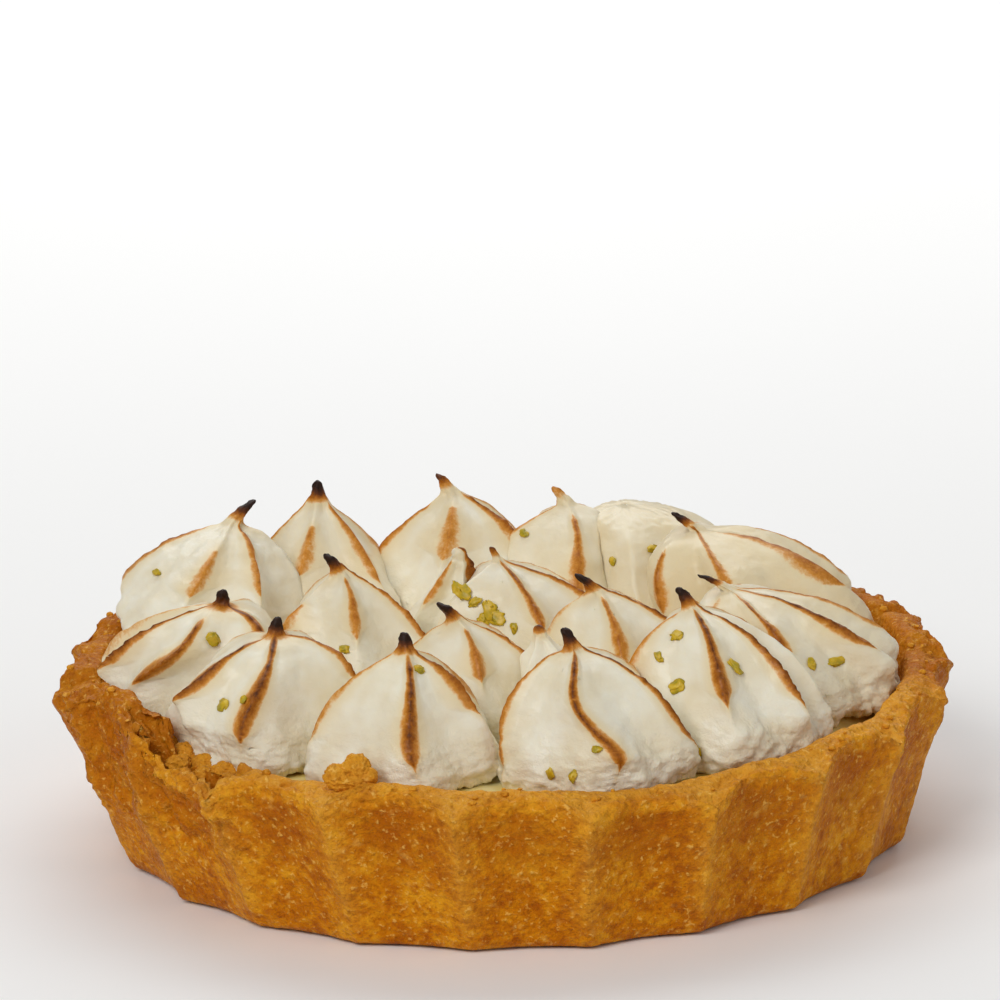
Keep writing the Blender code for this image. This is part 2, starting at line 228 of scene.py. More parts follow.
def settle(
    piece: bpy.types.Object, name: str, finish: bpy.types.Material
) -> bpy.types.Object:
    """Names a finished piece, gives it its finish and lets it ride on the tart.

    Args:
        piece: the mesh object.
        name: its name.
        finish: its material.

    Returns:
        The same piece.
    """
    piece.name = piece.data.name = name
    piece.data.materials.clear()
    piece.data.materials.append(finish)
    clear_selection()
    piece.select_set(True)
    bpy.context.view_layer.objects.active = piece
    bpy.ops.object.transform_apply(location=True, rotation=True, scale=True)
    bpy.ops.object.shade_smooth()
    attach(piece, "root")
    log.info("%s: %d faces", name, len(piece.data.polygons))
    return piece


# Finishes


@dataclass(frozen=True)
class Shortcrust:
    """Sweet shortcrust, pressed into a fluted tin and cooked in the oven: a dry golden brown crumb, like
    sand, with a buttery gloss on each grain. Painted shade darkens the upper flutes under the rim, the
    hollow at the front left and the stretches of rim that lie in shade; the crests are painted paler as
    painted light, and the top of the rim partly for its crumb and partly as painted light."""

    # Painted shade: the tone of the upper flutes under the rim, of the hollow and of the stretches in
    # shade
    painted_shade_tone: str = "#a55400"
    deep: str = "#ac5a00"
    middle: str = "#cc7a00"
    light: str = "#e49c18"
    # Paler tone: the rim's crumb, with painted light on the crests and the top of the rim
    sandy_and_lit: str = "#e0a236"
    pale_grain: str = "#f6c260"
    dark_grain: str = "#8a4400"
    patch_size: float = 5.0
    mottle_size: float = 1.5
    grain_size: float = 0.6
    fine_size: float = 0.26

    def material(self) -> bpy.types.Material:
        """Builds the material, which reads the attributes "crest", "rim" and "scoop" of the crust."""
        made = bpy.data.materials.new("baked_shortcrust")
        made.use_nodes = True
        tree = made.node_tree
        shader = tree.nodes["Principled BSDF"]
        place = add_node(tree, "ShaderNodeTexCoord").outputs["Object"]
        patches = add_node(
            tree, "ShaderNodeTexNoise",
            {"Scale": 1000 / self.patch_size, "Detail": 3.0, "Roughness": 0.6}, {"Vector": place},
        )
        mottle = add_node(
            tree, "ShaderNodeTexNoise",
            {"Scale": 1000 / self.mottle_size, "Detail": 4.0, "Roughness": 0.65}, {"Vector": place},
        )
        fine = add_node(
            tree, "ShaderNodeTexNoise",
            {"Scale": 1000 / self.fine_size, "Detail": 2.0, "Roughness": 0.6}, {"Vector": place},
        )
        blend = add_node(
            tree, "ShaderNodeMath", {1: 0.45}, {0: patches.outputs["Fac"]}, operation="MULTIPLY"
        )
        blend = add_node(
            tree, "ShaderNodeMath", {1: 0.55}, {0: mottle.outputs["Fac"], 2: blend.outputs[0]},
            operation="MULTIPLY_ADD",
        )
        body = add_node(
            tree, "ShaderNodeValToRGB", links={"Fac": blend.outputs[0]},
            stops=((0.38, self.deep), (0.63, self.light), (0.50, self.middle)),
        )
        # Painted shade: the flutes under the rim, the hollow and the stretches in shade are mixed
        # towards the shade tone
        painted_shade_mask = add_node(tree, "ShaderNodeAttribute", attribute_name="painted_shade_mask")
        shade_share = add_node(
            tree, "ShaderNodeMath", {1: 0.6}, {0: painted_shade_mask.outputs["Fac"]}, operation="MULTIPLY"
        )
        body = add_node(
            tree, "ShaderNodeMix", {7: linear(self.painted_shade_tone)},
            {0: shade_share.outputs[0], 6: body.outputs["Color"]}, data_type="RGBA",
        )
        # Painted light: the crests of the flutes and the top of the rim are mixed towards the paler
        # tone, the rim partly for its crumb
        crest = add_node(tree, "ShaderNodeAttribute", attribute_name="crest")
        rim = add_node(tree, "ShaderNodeAttribute", attribute_name="rim")
        shown = add_node(
            tree, "ShaderNodeMath", {1: 0.42}, {0: crest.outputs["Fac"]}, operation="MULTIPLY"
        )
        shown = add_node(
            tree, "ShaderNodeMath", {1: 0.55}, {0: rim.outputs["Fac"], 2: shown.outputs[0]},
            operation="MULTIPLY_ADD", use_clamp=True,
        )
        colour = add_node(
            tree, "ShaderNodeMix", {7: linear(self.sandy_and_lit)},
            {0: shown.outputs[0], 6: body.outputs[2]}, data_type="RGBA",
        )
        sand = add_node(
            tree, "ShaderNodeTexNoise",
            {"Scale": 1000 / self.grain_size, "Detail": 2.0, "Roughness": 0.55}, {"Vector": place},
        )
        flakes = add_node(
            tree, "ShaderNodeTexNoise",
            {"Scale": 1000 / (2.6 * self.grain_size), "Detail": 3.0, "Roughness": 0.6},
            {"Vector": place},
        )
        for source, start, full, share, tone in (
            (sand, 0.43, 0.30, 0.36, self.dark_grain),
            (sand, 0.60, 0.72, 0.60, self.pale_grain),
            (flakes, 0.60, 0.72, 0.24, self.pale_grain),
            (flakes, 0.40, 0.30, 0.40, self.dark_grain),
        ):
            shown = add_node(
                tree, "ShaderNodeMapRange", {"From Min": start, "From Max": full, "To Max": share},
                {"Value": source.outputs["Fac"]},
            )
            colour = add_node(
                tree, "ShaderNodeMix", {7: linear(tone)},
                {0: shown.outputs[0], 6: colour.outputs[2]}, data_type="RGBA",
            )
        crumb = add_node(
            tree, "ShaderNodeTexVoronoi", {"Scale": 1000 / (1.5 * self.grain_size)}, {"Vector": place}
        )
        height = add_node(
            tree, "ShaderNodeMath", {1: -0.35}, {0: crumb.outputs["Distance"], 2: sand.outputs["Fac"]},
            operation="MULTIPLY_ADD",
        )
        height = add_node(
            tree, "ShaderNodeMath", {1: 0.28}, {0: fine.outputs["Fac"], 2: height.outputs[0]},
            operation="MULTIPLY_ADD",
        )
        bump = add_node(
            tree, "ShaderNodeBump", {"Strength": 0.85, "Distance": 0.45 * MM},
            {"Height": height.outputs[0]},
        )
        gloss = add_node(
            tree, "ShaderNodeMapRange",
            {"From Min": 0.35, "From Max": 0.7, "To Min": 0.34, "To Max": 0.6},
            {"Value": fine.outputs["Fac"]},
        )
        tree.links.new(colour.outputs[2], shader.inputs["Base Color"])
        tree.links.new(gloss.outputs[0], shader.inputs["Roughness"])
        tree.links.new(bump.outputs["Normal"], shader.inputs["Normal"])
        shader.inputs["Specular IOR Level"].default_value = 0.1
        shader.inputs["IOR"].default_value = 1.45
        return made


@dataclass(frozen=True)
class LemonCurd:
    """Lemon curd, set from eggs and butter: a smooth, pale yellow, slightly see-through gel with a
    wet gloss."""

    body: str = "#e3c86c"
    pale: str = "#efe0a4"

    def material(self) -> bpy.types.Material:
        """Builds the material."""
        made = bpy.data.materials.new("set_lemon_curd")
        made.use_nodes = True
        tree = made.node_tree
        shader = tree.nodes["Principled BSDF"]
        place = add_node(tree, "ShaderNodeTexCoord").outputs["Object"]
        swirl = add_node(
            tree, "ShaderNodeTexNoise", {"Scale": 1000 / 4.0, "Detail": 3.0}, {"Vector": place}
        )
        colour = add_node(
            tree, "ShaderNodeValToRGB", links={"Fac": swirl.outputs["Fac"]},
            stops=((0.35, self.body), (0.65, self.pale)),
        )
        bump = add_node(
            tree, "ShaderNodeBump", {"Strength": 0.3, "Distance": 0.3 * MM},
            {"Height": swirl.outputs["Fac"]},
        )
        tree.links.new(colour.outputs["Color"], shader.inputs["Base Color"])
        tree.links.new(bump.outputs["Normal"], shader.inputs["Normal"])
        shader.inputs["Roughness"].default_value = 0.28
        shader.inputs["IOR"].default_value = 1.4
        shader.inputs["Subsurface Weight"].default_value = 0.3
        shader.inputs["Subsurface Radius"].default_value = (1.0, 0.8, 0.3)
        shader.inputs["Subsurface Scale"].default_value = 1.5 * MM
        return made


@dataclass(frozen=True)
class TorchedMeringue:
    """Italian meringue, piped and browned with a torch: a soft, faintly glossy white foam, through
    which the light goes a little way, with sugar burnt tan to black on its crests and tips."""

    white: str = "#eee8d4"
    cream: str = "#e7dcc0"
    halo: str = "#ecce9c"
    # Faint toast around the browned crests and tips, and painted shade over the kisses that lie in shade
    # at the back
    faint_toast_and_shade: str = "#e6d2a6"
    tan: str = "#cf8d38"
    brown: str = "#a45e0a"
    dark: str = "#5a2a02"
    char: str = "#260e00"
    ragged_size: float = 1.1
    speck_size: float = 0.32
    foam_size: float = 0.7
    bubble_size: float = 0.22

    def material(self) -> bpy.types.Material:
        """Builds the material, which reads the attributes "toast" and "foam" of a kiss."""
        made = bpy.data.materials.new("torched_italian_meringue")
        made.use_nodes = True
        tree = made.node_tree
        shader = tree.nodes["Principled BSDF"]
        place = add_node(tree, "ShaderNodeTexCoord").outputs["Object"]
        heat = add_node(tree, "ShaderNodeAttribute", attribute_name="toast_and_shade")
        foam = add_node(tree, "ShaderNodeAttribute", attribute_name="foam")
        ragged = add_node(
            tree, "ShaderNodeTexNoise",
            {"Scale": 1000 / self.ragged_size, "Detail": 3.0, "Roughness": 0.65}, {"Vector": place},
        )
        specks = add_node(
            tree, "ShaderNodeTexNoise",
            {"Scale": 1000 / self.speck_size, "Detail": 2.0, "Roughness": 0.6}, {"Vector": place},
        )
        uneven = add_node(
            tree, "ShaderNodeMath", {1: 0.6, 2: -0.42}, {0: ragged.outputs["Fac"]},
            operation="MULTIPLY_ADD",
        )
        uneven = add_node(
            tree, "ShaderNodeMath", {1: 0.24}, {0: specks.outputs["Fac"], 2: uneven.outputs[0]},
            operation="MULTIPLY_ADD",
        )
        near = add_node(
            tree, "ShaderNodeMapRange", {"From Min": -0.35, "From Max": 0.35},
            {"Value": heat.outputs["Fac"]},
        )
        burnt = add_node(
            tree, "ShaderNodeMath", None,
            {0: uneven.outputs[0], 1: near.outputs[0], 2: heat.outputs["Fac"]},
            operation="MULTIPLY_ADD",
        )
        sugar = add_node(
            tree, "ShaderNodeValToRGB", links={"Fac": burnt.outputs[0]},
            stops=(
                (0.0, self.halo), (1.0, self.char), (0.22, self.tan), (0.46, self.brown),
                (0.72, self.dark),
            ),
        )
        toasted = add_node(
            tree, "ShaderNodeMapRange", {"From Min": -0.03, "From Max": 0.14},
            {"Value": burnt.outputs[0]}, interpolation_type="SMOOTHSTEP",
        )
        soft = add_node(
            tree, "ShaderNodeTexNoise", {"Scale": 1000 / 5.0, "Detail": 2.0}, {"Vector": place}
        )
        white = add_node(
            tree, "ShaderNodeValToRGB", links={"Fac": soft.outputs["Fac"]},
            stops=((0.38, self.cream), (0.62, self.white)),
        )
        # Mixes in the faint toast near the browned crests and the painted shade of the kisses in shade
        toast_and_shade_wash = add_node(
            tree, "ShaderNodeMapRange", {"From Min": -0.9, "From Max": 0.05, "To Max": 0.8},
            {"Value": heat.outputs["Fac"]},
        )
        white = add_node(
            tree, "ShaderNodeMix", {7: linear(self.faint_toast_and_shade)},
            {0: toast_and_shade_wash.outputs[0], 6: white.outputs["Color"]}, data_type="RGBA",
        )
        colour = add_node(
            tree, "ShaderNodeMix", None,
            {0: toasted.outputs[0], 6: white.outputs[2], 7: sugar.outputs["Color"]},
            data_type="RGBA",
        )
        bubbles = add_node(
            tree, "ShaderNodeTexNoise",
            {"Scale": 1000 / self.foam_size, "Detail": 3.0, "Roughness": 0.6}, {"Vector": place},
        )
        pits = add_node(
            tree, "ShaderNodeTexNoise", {"Scale": 1000 / self.bubble_size, "Detail": 1.0},
            {"Vector": place},
        )
        relief = add_node(
            tree, "ShaderNodeMath", {1: 0.4}, {0: pits.outputs["Fac"], 2: bubbles.outputs["Fac"]},
            operation="MULTIPLY_ADD",
        )
        depth = add_node(
            tree, "ShaderNodeMapRange", {"To Min": 0.16, "To Max": 0.7},
            {"Value": foam.outputs["Fac"]},
        )
        bump = add_node(
            tree, "ShaderNodeBump", {"Distance": 0.22 * MM},
            {"Height": relief.outputs[0], "Strength": depth.outputs[0]},
        )
        crisp = add_node(
            tree, "ShaderNodeBump", {"Strength": 0.6, "Distance": 0.2 * MM},
            {"Height": burnt.outputs[0], "Normal": bump.outputs["Normal"]}, invert=False,
        )
        gloss = add_node(
            tree, "ShaderNodeMapRange", {"From Max": 0.9, "To Min": 0.30, "To Max": 0.52},
            {"Value": burnt.outputs[0]},
        )
        tree.links.new(colour.outputs[2], shader.inputs["Base Color"])
        tree.links.new(crisp.outputs["Normal"], shader.inputs["Normal"])
        tree.links.new(gloss.outputs[0], shader.inputs["Roughness"])
        shader.inputs["IOR"].default_value = 1.4
        shader.inputs["Specular IOR Level"].default_value = 0.35
        shader.inputs["Subsurface Weight"].default_value = 0.25
        shader.inputs["Subsurface Radius"].default_value = (1.0, 0.85, 0.6)
        shader.inputs["Subsurface Scale"].default_value = 0.5 * MM
        return made


@dataclass(frozen=True)
class LimeZest:
    """Grated lime peel: small, moist, yellow-green curls, paler where the white pith shows."""

    green: str = "#a2900a"
    yellow: str = "#cca812"
    pith: str = "#dcc04a"

    def material(self) -> bpy.types.Material:
        """Builds the material."""
        made = bpy.data.materials.new("grated_lime_zest")
        made.use_nodes = True
        tree = made.node_tree
        shader = tree.nodes["Principled BSDF"]
        place = add_node(tree, "ShaderNodeTexCoord").outputs["Object"]
        oil = add_node(
            tree, "ShaderNodeTexNoise", {"Scale": 1000 / 0.9, "Detail": 3.0}, {"Vector": place}
        )
        colour = add_node(
            tree, "ShaderNodeValToRGB", links={"Fac": oil.outputs["Fac"]},
            stops=((0.34, self.green), (0.72, self.pith), (0.54, self.yellow)),
        )
        bump = add_node(
            tree, "ShaderNodeBump", {"Strength": 0.5, "Distance": 0.15 * MM},
            {"Height": oil.outputs["Fac"]},
        )
        tree.links.new(colour.outputs["Color"], shader.inputs["Base Color"])
        tree.links.new(bump.outputs["Normal"], shader.inputs["Normal"])
        shader.inputs["Roughness"].default_value = 0.42
        shader.inputs["Subsurface Weight"].default_value = 0.15
        shader.inputs["Subsurface Radius"].default_value = (0.8, 0.9, 0.2)
        shader.inputs["Subsurface Scale"].default_value = 0.5 * MM
        return made


# Crust


@dataclass(frozen=True)
class Break:
    """A stretch of the rim that stands above or below the rest, in degrees and mm."""

    start: float
    end: float
    rise: float
    lean: float
    edge: float

    def share(self, angle: np.ndarray) -> np.ndarray:
        """Says how far an azimuth, in radians, lies inside the stretch, from 0 to 1."""
        degrees = np.degrees(angle)
        inside = smooth_step((degrees - self.start) / self.edge + 0.5)
        return inside * smooth_step((self.end - degrees) / self.edge + 0.5)


@dataclass
class Crust:
    """The fluted shell, with its crumbled rim and the slab that has lifted at the front left."""

    rim_radius: float = 50.0
    base_radius: float = 43.5
    rim_height: float = 18.0
    inner_rim: float = 44.3
    inner_floor: float = 38.6
    flutes: int = 22
    phase: float = -96.4
    depth_at_rim: float = 2.3
    depth_at_base: float = 1.2
    point_drop: float = 1.5
    base_shift: float = 1.0
    cage_steps: int = 10
    levels: int = 2
    # Stretches of the rim that lie in shade, painted darker than the rest. They neither rise nor lean
    shaded_stretches: tuple[Break, ...] = (
        Break(-200.0, -143.0, 0.0, 0.0, 8.0), Break(152.0, 200.0, 0.0, 0.0, 12.0),
        Break(-14.0, 45.0, 0.0, 0.0, 14.0),
    )
    slab: Break = Break(-166.0, -143.0, 3.5, 0.5, 3.0)
    notch: Break = Break(-141.0, -129.0, -1.4, 0.0, 2.5)
    hollow: Break = Break(-147.0, -128.0, -3.2, 0.0, 6.0)
    # Azimuth at the rim, drift down the wall, lowest share of the wall, and depth in mm
    cracks: tuple[tuple[float, float, float, float], ...] = (
        (-165.5, 3.0, 0.30, 1.5),
        (-158.0, -9.0, 0.62, 0.6),
        (-142.5, 5.0, 0.45, 1.1),
    )
    others: tuple[Break, ...] = (
        Break(-174.0, -167.5, -2.0, 0.0, 2.5),
        Break(-94.0, -60.0, -0.5, 0.0, 14.0),
        Break(-24.0, -6.0, 0.5, 0.0, 3.0),
        Break(4.0, 18.0, 1.0, 0.0, 3.0),
        Break(20.0, 38.0, 1.2, 0.0, 3.0),
        Break(148.0, 163.0, 1.6, 0.0, 3.0),
        Break(164.0, 182.0, 1.0, 0.0, 3.0),
    )
    # Radius and height, from the underside out, up the wall, over the rim and down inside
    section: tuple[tuple[float, float], ...] = (
        (39.5, 0.0), (41.6, 0.02), (42.7, 0.25), (43.4, 0.9), (44.0, 2.2), (44.6, 3.8), (45.2, 5.4),
        (45.8, 7.0), (46.4, 8.6), (47.0, 10.2), (47.6, 11.8), (48.2, 13.4), (48.8, 14.9), (49.3, 16.3),
        (49.6, 17.2), (49.85, 17.8), (49.9, 18.1), (49.65, 18.3), (49.1, 18.4), (48.0, 18.55),
        (46.6, 18.7), (45.4, 18.7), (44.7, 18.4), (44.3, 17.6), (43.8, 16.5), (43.2, 15.0),
        (41.6, 11.0), (38.6, 3.6),
    )

    def rim_change(self, angle: np.ndarray) -> tuple[np.ndarray, np.ndarray]:
        """Says how the rim differs from a plain one.

        Args:
            angle: azimuths, in radians.

        Returns:
            How far the rim stands up and how far it leans in at each azimuth, in metres.
        """
        wave = 0.25 * np.sin(3 * angle + 1.1) + 0.2 * np.sin(7 * angle + 0.4) + 0.2 * np.sin(16 * angle)
        rise = wave * MM
        lean = np.zeros_like(angle)
        for spot in (self.slab, self.notch, *self.others):
            rise = rise + spot.share(angle) * spot.rise * MM
            lean = lean + spot.share(angle) * spot.lean * MM
        return rise, lean

    def crest(self, angle: np.ndarray) -> np.ndarray:
        """Gives 1 on the sharp crests between two flutes and 0 in the middle of a flute."""
        return 1.0 - np.abs(np.sin((angle - math.radians(self.phase)) * self.flutes / 2))

    def cage(self) -> bpy.types.Object:
        """Extrudes the plain shell, ring by ring, from a circle on the underside, and closes it."""
        clear_selection()
        radius, height = self.section[0]
        bpy.ops.mesh.primitive_circle_add(
            vertices=self.flutes * self.cage_steps, radius=radius * MM, location=(0, 0, height * MM)
        )
        shell = bpy.context.active_object
        bpy.ops.object.mode_set(mode="EDIT")
        bpy.ops.mesh.select_all(action="SELECT")
        for wider, higher in self.section[1:]:
            bpy.ops.mesh.extrude_region_move(
                TRANSFORM_OT_translate={"value": (0, 0, (higher - height) * MM)}
            )
            grow = wider / radius
            bpy.ops.transform.resize(value=(grow, grow, 1), center_override=(0, 0, 0))
            radius, height = wider, higher
        bpy.ops.object.mode_set(mode="OBJECT")
        rounds = shell.modifiers.new("Rounds", "SUBSURF")
        rounds.levels = rounds.render_levels = self.levels
        bpy.ops.object.modifier_apply(modifier=rounds.name)
        for radius, height in (self.section[0], self.section[-1]):
            self.close_ring(shell, radius * MM, height * MM)
        bpy.ops.object.mode_set(mode="EDIT")
        bpy.ops.mesh.select_all(action="SELECT")
        bpy.ops.mesh.normals_make_consistent(inside=False)
        bpy.ops.object.mode_set(mode="OBJECT")
        return shell

    def close_ring(self, shell: bpy.types.Object, radius: float, height: float) -> None:
        """Draws an open ring of the shell in to its middle, in two steps.

        Args:
            shell: the shell, which is changed.
            radius: the ring's radius, in metres.
            height: its height, in metres.
        """
        bpy.ops.object.mode_set(mode="EDIT")
        bpy.ops.mesh.select_all(action="DESELECT")
        cage = bmesh.from_edit_mesh(shell.data)
        for vertex in cage.verts:
            near = abs(math.hypot(vertex.co.x, vertex.co.y) - radius) < 0.05 * MM
            level = abs(vertex.co.z + shell.location.z - height) < 0.05 * MM
            vertex.select_set(vertex.is_boundary and near and level)
        cage.select_flush(True)
        bpy.ops.mesh.extrude_region_move(TRANSFORM_OT_translate={"value": (0, 0, 0)})
        bpy.ops.transform.resize(value=(0.45, 0.45, 1), center_override=(0, 0, 0))
        bpy.ops.mesh.extrude_region_move(TRANSFORM_OT_translate={"value": (0, 0, 0)})
        bpy.ops.mesh.merge(type="CENTER")
        bpy.ops.object.mode_set(mode="OBJECT")

    def flute(self, shell: bpy.types.Object) -> None:
        """Presses the flutes and breaks the rim of the plain shell.

        Args:
            shell: the turned shell, which is changed.
        """
        spots = corners(shell)
        angle = np.arctan2(spots[:, 1], spots[:, 0]) + math.radians(self.phase)
        angle = np.arctan2(np.sin(angle), np.cos(angle))
        radius = np.hypot(spots[:, 0], spots[:, 1])
        height = spots[:, 2]
        up = np.clip(height / (self.rim_height * MM), 0.0, 1.0)
        radius = radius + 0.5 * MM * (1.0 - up) * smooth_step((radius - 36 * MM) / (4 * MM))
        outer = (self.base_radius + (self.rim_radius - self.base_radius) * up) * MM
        inner = (self.inner_floor + (self.inner_rim - self.inner_floor) * up) * MM
        across = smooth_step((radius - inner) / (outer - inner))
        depth = (self.depth_at_base + (self.depth_at_rim - self.depth_at_base) * up) * MM
        crest = self.crest(angle)
        rise, lean = self.rim_change(angle)
        near_rim = smooth_step((up - 0.55) / 0.45) * smooth_step((radius - 43.7 * MM) / (0.5 * MM))
        # Painted shade on the stretches of the rim that lie in shade, which also takes back their paler
        # crests and rim top
        browned = np.max([stretch.share(angle) for stretch in self.shaded_stretches], axis=0)
        browned = browned * smooth_step((up - 0.3) / 0.5)
        # Painted highlight: the crests of the flutes are painted paler where they catch the light, less
        # on the stretches in shade
        painted_crest_light = crest ** 3 * across * smooth_step((up - 0.05) / 0.2)
        note(shell, "crest", painted_crest_light * (1.0 - 0.7 * browned))
        # Painted shade: darker in the upper flutes under the rim, on the stretches in shade and in the
        # hollow at the front left
        fluted = (1.0 - crest) ** 1.3 * across * (1.0 - smooth_step((up - 0.90) / 0.05))
        deep = self.hollow.share(angle) * smooth_step((up - 0.7) / 0.2)
        deep = deep * smooth_step((0.9 - across) / 0.3)
        dark = np.maximum(fluted * smooth_step((up - 0.35) / 0.4), np.maximum(browned, 1.3 * deep))
        note(shell, "painted_shade_mask", dark)
        # The top of the rim is painted paler, partly for its crumb and partly as painted light; less
        # where it lies in shade
        sandy_and_lit = smooth_step((up - 0.90) / 0.1) * smooth_step((1.15 - across) / 0.35)
        note(shell, "rim", sandy_and_lit * (1.0 - 0.8 * np.maximum(browned, deep)))
        radius = radius - across * depth * (1.0 - crest) - near_rim * lean * across
        height = height + near_rim * (rise - self.point_drop * MM * across * crest ** 2)
        behind = self.hollow.share(angle) * smooth_step((across - 0.02) / 0.1)
        height = height + self.hollow.rise * MM * behind * smooth_step((0.72 - across) / 0.25) * near_rim
        aside = self.base_shift * MM * (1.0 - up) ** 1.5 * smooth_step((radius - 36 * MM) / (4 * MM))
        placed = np.stack([np.cos(angle) * radius + aside, np.sin(angle) * radius, height], axis=1)
        move_corners(shell, placed)
        broken = np.zeros_like(angle)
        for spot in (self.slab, self.notch, self.others[0]):
            wider = Break(spot.start - 2, spot.end + 2, 0, 0, spot.edge)
            broken = np.maximum(broken, wider.share(angle))
        self.crumble(shell, placed, up, across, broken)

    def crumble(
        self,
        shell: bpy.types.Object,
        placed: np.ndarray,
        up: np.ndarray,
        across: np.ndarray,
        broken: np.ndarray,
    ) -> None:
        """Gives the outside of the shell its crumb, which is coarsest on the rim.

        Args:
            shell: the fluted shell, which is changed.
            placed: its vertices.
            up: each vertex's height, as a share of the wall.
            across: how near each vertex is to the outside, from 0 to 1.
            broken: how near each vertex is to a broken stretch, from 0 to 1.
        """
        shown = np.flatnonzero((placed[:, 2] > 0.02 * MM) & (up > 0.0) & ((across > 0.02) | (up > 0.8)))
        spots, up, across, broken = placed[shown], up[shown], across[shown], broken[shown]
        rim = smooth_step((up - 0.80) / 0.2)
        edge = rim * smooth_step((across - 0.25) / 0.5)
        shift = 0.16 * rough(spots, 6.0) + (0.10 + 0.10 * rim) * rough(spots, 2.3, 3, 5.0)
        shift = shift + (0.11 + 0.04 * rim + 0.40 * edge) * (grains(spots, 1.6) - 0.6)
        shift = shift + (0.11 + 0.04 * rim + 0.16 * edge) * (grains(spots, 0.9) - 0.6)
        azimuth = np.degrees(np.arctan2(spots[:, 1], spots[:, 0]))
        for start, drift, bottom, depth in self.cracks:
            line = start + drift * (1.0 - up) + 1.6 * rough(spots, 3.0, 2, start)
            near = np.exp(-(((azimuth - line) / 0.75) ** 2)) * smooth_step((up - bottom) / 0.15)
            shift = shift - depth * near * smooth_step(across / 0.3)
        torn = broken * smooth_step((up - 0.3) / 0.3)
        shift = shift + torn * (0.8 * rough(spots, 3.4, 4, 9.0) + 0.45 * (grains(spots, 2.2) - 0.6))
        shift = shift - (0.05 + 0.30 * edge + 0.35 * torn) * np.abs(rough(spots, 1.3, 2, 13.0))
        hollow = np.clip(rough(spots, 3.0, 2, 21.0) - 0.25, 0.0, 1.0) * edge
        shift = shift - 1.1 * hollow
        low = smooth_step(placed[shown, 2] / (0.6 * MM))
        facing = outward(shell)[shown]
        placed = placed.copy()
        placed[shown] += facing * (shift * low * MM)[:, None]
        move_corners(shell, placed)

    def build(self, finish: bpy.types.Material) -> bpy.types.Object:
        """Makes the whole crust.

        Args:
            finish: the shortcrust material.

        Returns:
            The crust, which stands for its node.
        """
        shell = self.cage()
        bpy.ops.object.transform_apply(location=True, rotation=True, scale=True)
        self.flute(shell)
        settle(shell, "crust_shell", finish)
        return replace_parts(shell, "crust")


# Filling


@dataclass
class Filling:
    """The curd, which fills the shell to just under the rim."""

    top: float = 16.0
    floor: float = 3.9
    radius_at_top: float = 43.4
    radius_at_floor: float = 38.3

    def build(self, finish: bpy.types.Material) -> bpy.types.Object:
        """Makes the curd from a disc.

        Args:
            finish: the curd material.

        Returns:
            The curd, which stands for its node.
        """
        clear_selection()
        bpy.ops.mesh.primitive_circle_add(
            vertices=160, radius=self.radius_at_floor * MM, location=(0, 0, self.floor * MM),
            fill_type="TRIFAN",
        )
        curd = bpy.context.active_object
        bpy.ops.object.mode_set(mode="EDIT")
        bpy.ops.mesh.select_all(action="SELECT")
        bpy.ops.mesh.extrude_region_move(
            TRANSFORM_OT_translate={"value": (0, 0, (self.top - self.floor) * MM)}
        )
        grow = self.radius_at_top / self.radius_at_floor
        bpy.ops.transform.resize(value=(grow, grow, 1), center_override=(0, 0, 0))
        for _ in range(9):
            bpy.ops.mesh.inset(thickness=4.0 * MM)
        bpy.ops.mesh.select_all(action="SELECT")
        bpy.ops.mesh.normals_make_consistent(inside=False)
        bpy.ops.object.mode_set(mode="OBJECT")
        bpy.ops.object.transform_apply(location=True, rotation=True, scale=True)
        spots = corners(curd)
        radius = np.hypot(spots[:, 0], spots[:, 1])
        high = spots[:, 2] > (self.top - 0.1) * MM
        wave = 0.22 * rough(spots, 9.0) - 2.0 * smooth_step((radius / MM - 40.5) / 2.5)
        spots[:, 2] += np.where(high, wave * MM, 0.0)
        move_corners(curd, spots)
        settle(curd, "lemon_curd_fill", finish)
        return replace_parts(curd, "filling")


# Kisses


@dataclass(frozen=True)
class Ridge:
    """A ridge that the nozzle left: its azimuth, and where and how far the torch has browned it."""

    azimuth: float
    browning: Browning = Browning.FAINT
    low: float = 0.35
    high: float = 0.84
    width: float = 0.8
    bend: float = 0.0

    def path(self, level: np.ndarray) -> np.ndarray:
        """Gives the azimuth of the crest, in radians, at each level: a straight line or an S."""
        return np.radians(self.azimuth - self.bend * np.sin(2 * math.pi * (level - 0.1) / 0.8))

    def heat(self, aside: np.ndarray, level: np.ndarray) -> np.ndarray:
        """Says how far the torch has browned points near the ridge.

        Args:
            aside: how far the points lie from the crest along the surface, in mm.
            level: their height, as a share of the kiss.

        Returns:
            The heat at each point: 1 is charred, 0 and less is white.
        """
        if self.browning is Browning.NONE:
            return np.full_like(level, -1.0)
        along = (self.high - level) / (self.high - self.low)
        inside = np.clip(along, 0.0, 1.0)
        # The strip widens downwards, and closes over the last seventh of its length
        wide = 0.30 + 0.70 * smooth_step(inside / 0.75)
        wide = wide * (1.0 - 0.6 * np.clip(inside / 0.14 - 6.1, 0, 1) ** 2)
        beyond = np.maximum(np.maximum(-along, along - 1.0), 0.0)
        away = np.abs(aside) / (self.width * wide)
        return self.browning.value * (1.3 - 0.35 * inside - 0.75 * away ** 1.3) - 5.0 * beyond


